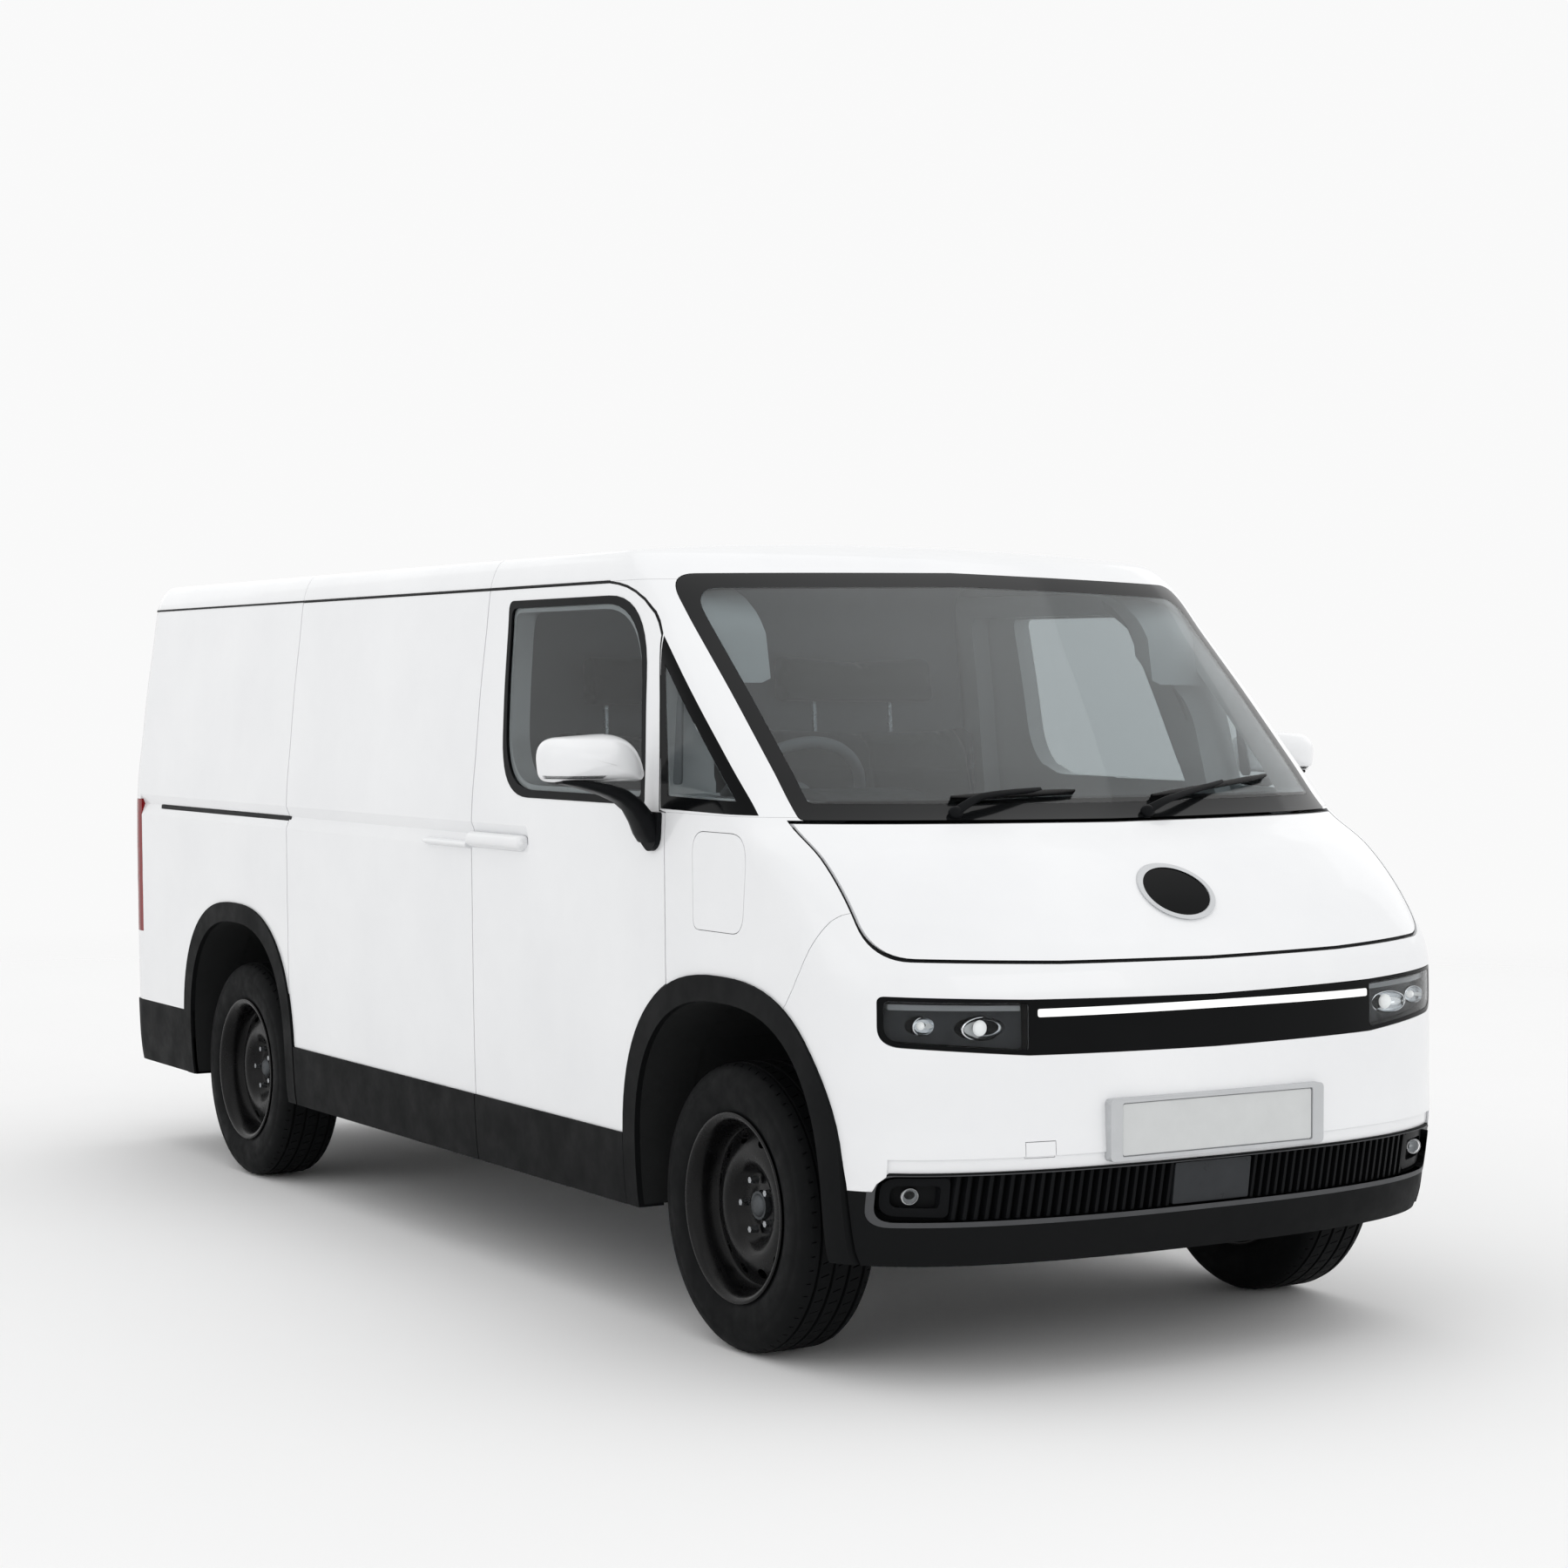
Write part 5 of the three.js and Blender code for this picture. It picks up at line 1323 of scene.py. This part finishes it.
def onScreen(x, z, proud):
    # a point standing off the windscreen, and the way it faces there
    point = Vector((x, noseAt(x, z), z))
    facing = Vector(hullNormals(np.array([point]))[0][0])
    return point + facing * proud, facing


wipers = {"right": dict(pivot=(-400, 1196), elbow=(-330, 1216), tip=(-150, 1240),
                        blade=((-392, 1226), (-60, 1236))),
          "left": dict(pivot=(112, 1191), elbow=(190, 1206), tip=(395, 1250),
                       blade=((150, 1222), (560, 1262)))}
for word, values in wipers.items():
    stations = [values["pivot"], values["elbow"], values["tip"]]
    path = []
    for a, b in zip(stations, stations[1:]):
        path += [(a[0] + (b[0] - a[0]) * t, a[1] + (b[1] - a[1]) * t) for t in (0, 0.2, 0.4, 0.6, 0.8)]
    path.append(stations[-1])
    count = len(path)
    lifted = [onScreen(x, z,
                       10 + 16 * math.sin(math.pi * i / (count - 1))) for i, (x, z) in enumerate(path)]
    arm = sweep([p for p, n in lifted], [11 - 6 * i / count for i in range(count)], [4.5] * count,
                [n for p, n in lifted])
    piece("wiperArm_" + word, arm, "van_body", "satinBlack", sharp=45)
    base, facing = onScreen(*values["pivot"], 6)
    piece("wiperPivot_" + word, ball(tuple(base), (19, 12, 15)), "van_body", "satinBlack")
    (xa, za), (xb, zb) = values["blade"]
    line = [onScreen(xa + (xb - xa) * t / 16, za + (zb - za) * t / 16, 8) for t in range(17)]
    rubber = sweep([p - n * 5 for p, n in line], [1.6] * 17, [5.0] * 17, [n for p, n in line])
    piece("wiperRubber_" + word, rubber, "van_body", "sealRubber", sharp=45)
    spine = sweep([p + n * 2.5 for p, n in line], [7 * min(1, 0.4 + min(t, 16 - t) / 4) for t in range(17)],
                  [4.0] * 17, [n for p, n in line])
    piece("wiperBlade_" + word, spine, "van_body", "blackSteel", sharp=45)

rearFit = dict(plateX=372, plateY=2268, plateRise=98)
holder, blank = flatPlate(rearFit["plateY"], 1, rearFit["plateRise"])
for name, mesh, finish in (("plateHolderRear", holder, "blackPlastic"), ("plateRear", blank, "plateWhite")):
    for vertex in mesh.vertices:
        vertex.co.x += rearFit["plateX"] / 1000
    piece(name, mesh, "back_door_left", finish)
bar = rounded([(110, 732, 10), (634, 732, 10), (634, 762, 14), (110, 762, 14)], 6)
piece("plateLampBar", common(less(hull(-22), hull(3)), prism(bar, tailFront, behind, "y")),
      "back_door_left", "blackPlastic", offsets=[-22])
grip = rounded([(-150, 1052, 16), (-18, 1052, 16), (-18, 1098, 16), (-150, 1098, 16)], 6)
piece("rearHandle", common(less(hull(-20), hull(3)), prism(grip, tailFront, behind, "y")),
      "back_door_right", "blackPlastic", offsets=[-20])
stop = rounded([(-130, 1741, 5), (130, 1741, 5), (130, 1755, 5), (-130, 1755, 5)], 5)
piece("stopLamp", common(less(hull(-4, 0), hull(4)), prism(stop, tailFront, behind, "y")), "van_body",
      "redLens", offsets=[-4])
print("wipers and rear fittings ready")

# Cab: dashboard, steering wheel and seats
dash = dict(outline=[(-1728, 900, 0), (-1450, 900, 40), (-1360, 1030, 30), (-1330, 1110, 30),
                     (-1400, 1178, 60), (-1560, 1205, 60), (-1728, 1190, 0)])
dashTool = prism(rounded(dash["outline"], 12), -700, 700, "x")
dashBody = common(dashTool, hull(130, 130))
column = []
steering = dict(hub=(-400, -1150, 1189), tilt=math.radians(35), rim=188, thick=14.5)
hubX, hubY, hubZ = steering["hub"]
tilt = steering["tilt"]
for length, radius in ((26, 30), (60, 42), (150, 44), (250, 34), (328, 30)):
    column.append([(hubX + radius * math.cos(a),
                    hubY - length * math.cos(tilt) - radius * math.sin(a) * math.sin(tilt),
                    hubZ - length * math.sin(tilt) + radius * math.sin(a) * math.cos(tilt))
                   for a in (2 * math.pi * i / 24 for i in range(24))])
dashMesh = joined(dashBody, loft(column))
piece("dashboard", dashMesh, "van_body", "greyTrim", ["dashboard"], sharp=30)
hood = prism(rounded([(-1560, 1196, 10), (-1395, 1170, 10), (-1372, 1196, 18), (-1400, 1243, 30),
                      (-1540, 1232, 30)], 8),
             -540, -260, "x")
hoodObject = piece("instrumentHood", hood, "van_body", "greyTrim", sharp=40)
pad = prism(rounded([(-1700, 1194, 4), (-1562, 1207, 20), (-1440, 1184, 20), (-1440, 1192, 8),
                     (-1562, 1216, 20), (-1700, 1203, 4)], 6), -640, 640, "x")
padObject = piece("dashTop", common(pad, hull(140, 140)), "van_body", "paleTrim", sharp=40)
screen = prism(rounded([(-1352, 1096, 6), (-1344, 1096, 6), (-1362, 1212, 6), (-1370, 1212, 6)], 4), -110,
               130, "x")
screenObject = piece("dashScreen", screen, "van_body", "glossBlack", sharp=40)
for obj, width in ((hoodObject, 0.012), (padObject, 0.004), (screenObject, 0.003)):
    softEdge(obj, width)



def onWheel(x, y, z):
    # from the steering wheel's own plane to its place on the tilted column
    angle = tilt - math.pi / 2
    return (hubX + x, hubY + y * math.cos(angle) - z * math.sin(angle),
            hubZ + y * math.sin(angle) + z * math.cos(angle))


points, faces, major, minor = [], [], 96, 16
for i in range(major):
    a = 2 * math.pi * i / major
    for j in range(minor):
        b = 2 * math.pi * j / minor
        radius = steering["rim"] + steering["thick"] * math.cos(b)
        points.append(onWheel(radius * math.cos(a), radius * math.sin(a), steering["thick"] * math.sin(b)))
        faces.append((i * minor + j, ((i + 1) % major) * minor + j,
                      ((i + 1) % major) * minor + (j + 1) % minor, i * minor + (j + 1) % minor))
steeringRim = newMesh("steeringRim", points, faces)
faceOut(steeringRim)
spokes = []
for angle in (math.pi / 2, math.pi / 10, math.pi - math.pi / 10):
    rings = []
    for t in range(9):
        r = 30 + (steering["rim"] - 34) * t / 8
        wide, thick, lift = 24 - 8 * t / 8, 7, 6 * (1 - t / 8)
        centre = (r * math.cos(angle), r * math.sin(angle))
        across = (-math.sin(angle), math.cos(angle))
        rings.append([onWheel(centre[0] + across[0] * wide * math.cos(b),
                              centre[1] + across[1] * wide * math.cos(b),
                              lift + thick * math.sin(b)) for b in (2 * math.pi * k / 12 for k in range(12))])
    spokes.append(loft(rings))
hubRings = []
for height, radius in ((-18, 48), (-10, 56), (10, 62), (18, 58), (22, 46), (23, 4)):
    hubRings.append([onWheel(radius * math.cos(b), radius * math.sin(b), height) for b in
                     (2 * math.pi * k / 32 for k in range(32))])
# painted highlight: the black steering wheel gets the pale grey finish, which stands in for the bright
# reflection along its rim
piece("steeringWheel", joined(steeringRim, loft(hubRings), *spokes), "steering_wheel_body", "paleTrim",
      ["steering_wheel"], sharp=50)
print("dashboard and steering wheel ready")

seatForm = dict(voxel=0.006, pressure=4.0, frames=20, limit=0.024, seam=0.005)
seats = {"driver": dict(x0=-645, x1=-165, rest=130, node="driver_seat"),
         "bench": dict(x0=-120, x1=680, rest=250, node="passenger_bench")}


def padded(name, outline, x0, x1, node, seams):
    mesh = prism(rounded(outline, 8), x0, x1, "x")
    obj = bpy.data.objects.new(name, mesh)
    bpy.context.scene.collection.objects.link(obj)
    soft = obj.modifiers.new("soft", "BEVEL")
    soft.width, soft.segments, soft.limit_method = 0.026, 4, "ANGLE"
    grid = obj.modifiers.new("grid", "REMESH")
    grid.mode, grid.voxel_size = "VOXEL", seatForm["voxel"]
    graph = bpy.context.evaluated_depsgraph_get()
    graph.update()
    flat = bpy.data.meshes.new_from_object(obj.evaluated_get(graph))
    obj.modifiers.clear()
    obj.data = flat
    count = len(flat.vertices)
    rest = np.empty(count * 3)
    flat.vertices.foreach_get("co", rest)
    rest = rest.reshape(-1, 3)
    final = rest
    group = obj.vertex_groups.new(name="held")
    low = rest[:, 2].min()
    held = [int(i) for i in np.nonzero(rest[:, 2] < low + 0.012)[0]]
    group.add(held, 1.0, "REPLACE")
    cloth = obj.modifiers.new("cloth", "CLOTH")
    settings = cloth.settings
    settings.quality = 3
    settings.use_pressure = True
    settings.uniform_pressure_force = seatForm["pressure"]
    settings.effector_weights.gravity = 0
    settings.vertex_group_mass = "held"
    cloth.point_cache.frame_start, cloth.point_cache.frame_end = 1, seatForm["frames"]
    for number in range(1, seatForm["frames"] + 1):
        bpy.context.scene.frame_set(number)
    graph = bpy.context.evaluated_depsgraph_get()
    swollen = np.empty(count * 3)
    shaped = obj.evaluated_get(graph).to_mesh()
    shaped.vertices.foreach_get("co", swollen)
    obj.evaluated_get(graph).to_mesh_clear()
    move = swollen.reshape(-1, 3) - rest
    size = np.linalg.norm(move, axis=1)[:, None] + 1e-9
    final = rest + move * np.minimum(size, seatForm["limit"]) / size
    obj.modifiers.clear()
    bpy.context.scene.frame_set(1)
    normals = np.empty(count * 3)
    flat.vertices.foreach_set("co", final.ravel())
    flat.update()
    flat.vertices.foreach_get("normal", normals)
    normals = normals.reshape(-1, 3)
    sink = np.zeros(count)
    for axis, at in seams:
        sink = np.maximum(sink, np.exp(-((final[:, axis] - at / 1000) / 0.006) ** 2))
    final = final - normals * (sink * seatForm["seam"])[:, None]
    flat.vertices.foreach_set("co", final.ravel())
    for polygon in flat.polygons:
        polygon.use_smooth = True
    flat.materials.clear()
    flat.materials.append(materials["seatCloth"])
    obj.vertex_groups.clear()
    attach(obj, "van_body")
    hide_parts(node)
    made.append(obj)
    return obj


for name, seat in seats.items():
    x0, x1, node = seat["x0"], seat["x1"], seat["node"]
    middle = (x0 + x1) / 2
    seams = [(0, x0 + 75), (0, x1 - 75)] + ([(0, middle)] if name == "bench" else [])
    padded(name + "Cushion", [(-958, 792, 30), (-452, 774, 24), (-452, 848, 24), (-940, 886, 44)], x0 + 12,
           x1 - 12, node, seams + [(1, -830)])
    padded(name + "Back", [(-546, 856, 18), (-440, 806, 26), (-324, 1364, 36), (-408, 1374, 44)], x0 + 22,
           x1 - 22, node, seams + [(2, 1250), (2, 980)])
    padded(name + "HeadRest", [(-413, 1432, 34), (-332, 1432, 34), (-322, 1558, 36), (-393, 1558, 36)],
           middle - seat["rest"] + 10, middle + seat["rest"] - 10, node, [])
    seatBox = prism(rounded([(-905, 631, 10), (-490, 631, 10), (-480, 786, 20), (-920, 792, 20)], 5),
                    x0 + 40, x1 - 40,
                      "x")
    baseObject = piece(name + "Base", seatBox, "van_body", "greyTrim", [node], sharp=40)
    softEdge(baseObject, 0.012)
    for post in (-1, 1):
        x = middle + post * seat["rest"] / 2
        path = [(x, -362 + 6 * t / 8, 1340 + 110 * t / 8) for t in range(9)]
        stalk = sweep(path, [6] * 9, [6] * 9, [Vector((0, 1, 0))] * 9)
        piece("%sPost_%d" % (name, post + 2), stalk, "van_body", "brightSteel", [node], sharp=60)
print("seats ready")

# The frame's own nodes that stay get their real finishes
kept = {"floor_pan": "underseal", "bulkhead": "paleTrim", "battery_pack": "castMetal",
        "front_subframe": "underseal", "rear_axle": "underseal", "knuckle_right": "castMetal",
        "knuckle_left": "castMetal", "wheel_house_front_right": "underseal",
        "wheel_house_front_left": "underseal", "wheel_house_rear_right": "underseal",
        "wheel_house_rear_left": "underseal"}
for name, finish in kept.items():
    if name in cadNodes:
        for entry in cadNodes[name].material_slots:
            entry.material = materials[finish]

# Studio: a pale floor that fades out away from the van, and soft lights
studio = dict(floor="#f4f4f4", size=60, turn=(-31.31, 0.98, 0.106), camera=(-4.2113, -7.4103, 1.4577),
              lens=70.15,
        shift=(-0.0015, -0.023), fade=(3.5, 11))


def floorMaterial(name, colour, near, far):
    material = bpy.data.materials.new(name)
    material.use_nodes = True
    tree = material.node_tree
    shader = tree.nodes["Principled BSDF"]
    place = addNode(tree, "ShaderNodeTexCoord")
    mottle = addNode(tree, "ShaderNodeTexNoise",
                     {"Vector": place.outputs["Object"], "Scale": 0.6, "Detail": 2.0})
    tone = addNode(tree, "ShaderNodeMix", {"Factor": mottle.outputs["Fac"], 6: linear(colour),
                                           7: linear("#f0f0f0")},
                   data_type="RGBA")
    tree.links.new(tone.outputs[2], shader.inputs["Base Color"])
    shader.inputs["Roughness"].default_value = 0.85
    shader.inputs["Specular IOR Level"].default_value = 0.1
    distance = addNode(tree, "ShaderNodeVectorMath", {"Vector": place.outputs["Object"]},
                       operation="LENGTH")
    fade = addNode(tree, "ShaderNodeMapRange",
                   {"Value": distance.outputs["Value"], "From Min": near, "From Max": far})
    clear = addNode(tree, "ShaderNodeBsdfTransparent")
    blend = addNode(tree, "ShaderNodeMixShader", {0: fade.outputs["Result"], 1: shader.outputs["BSDF"],
                                                  2: clear.outputs["BSDF"]})
    tree.links.new(blend.outputs["Shader"], tree.nodes["Material Output"].inputs["Surface"])
    return material


half = studio["size"] / 2
floorMesh = bpy.data.meshes.new("floor")
floorMesh.from_pydata([(-half, -half, 0), (half, -half, 0), (half, half, 0), (-half, half, 0)], [],
                      [(0, 1, 2, 3)])
floor = bpy.data.objects.new("floor", floorMesh)
bpy.context.scene.collection.objects.link(floor)
floorMesh.materials.append(floorMaterial("paleFloor", studio["floor"], *studio["fade"]))


def softLight(name, place, aim, size, power, colour=(1, 1, 1)):
    lamp = bpy.data.lights.new(name, "AREA")
    lamp.shape, lamp.size, lamp.size_y, lamp.energy, lamp.color = "RECTANGLE", size[0], size[1], power, colour
    obj = bpy.data.objects.new(name, lamp)
    obj.location = place
    obj.rotation_euler = (Vector(aim) - Vector(place)).to_track_quat("-Z", "Y").to_euler()
    bpy.context.scene.collection.objects.link(obj)
    return obj


softLight("overhead", (0, 0, 7), (0, 0, 0), (9, 9), 60)
softLight("nearSide", (-8, -3, 4.5), (0, 0, 0.9), (7, 4), 25)
softLight("nose", (1.5, -10, 4.0), (0, -1, 0.8), (6, 4), 55)
softLight("farSide", (8, 2, 4.5), (0, 0, 0.9), (6, 4), 25)
softLight("back", (0, 9, 4.5), (0, 0, 1.0), (6, 4), 25)

world = bpy.data.worlds.new("studioWorld")
world.use_nodes = True
world.node_tree.nodes["Background"].inputs["Color"].default_value = (1, 1, 1, 1)
world.node_tree.nodes["Background"].inputs["Strength"].default_value = 0.95
bpy.context.scene.world = world
bpy.context.scene.view_settings.view_transform = "Standard"

azimuth, elevation, roll = (math.radians(a) for a in studio["turn"])
back = Vector((math.sin(azimuth) * math.cos(elevation), -math.cos(azimuth) * math.cos(elevation),
               math.sin(elevation)))
right = Vector((math.cos(azimuth), math.sin(azimuth), 0))
up = back.cross(right)
rolledRight = right * math.cos(roll) + up * math.sin(roll)
rolledUp = up * math.cos(roll) - right * math.sin(roll)
cameraData = bpy.data.cameras.new("camera")
cameraData.lens, cameraData.sensor_width = studio["lens"], 36
cameraData.shift_x, cameraData.shift_y = studio["shift"]
cameraData.clip_end = 200
camera = bpy.data.objects.new("camera", cameraData)
bpy.context.scene.collection.objects.link(camera)
turn = Matrix((rolledRight, rolledUp, back)).transposed().to_4x4()
camera.matrix_world = Matrix.Translation(studio["camera"]) @ turn
bpy.context.scene.camera = camera

for role in ("base", "tool"):
    bpy.data.objects.remove(scratch[role])
print("pieces made:", len(made))
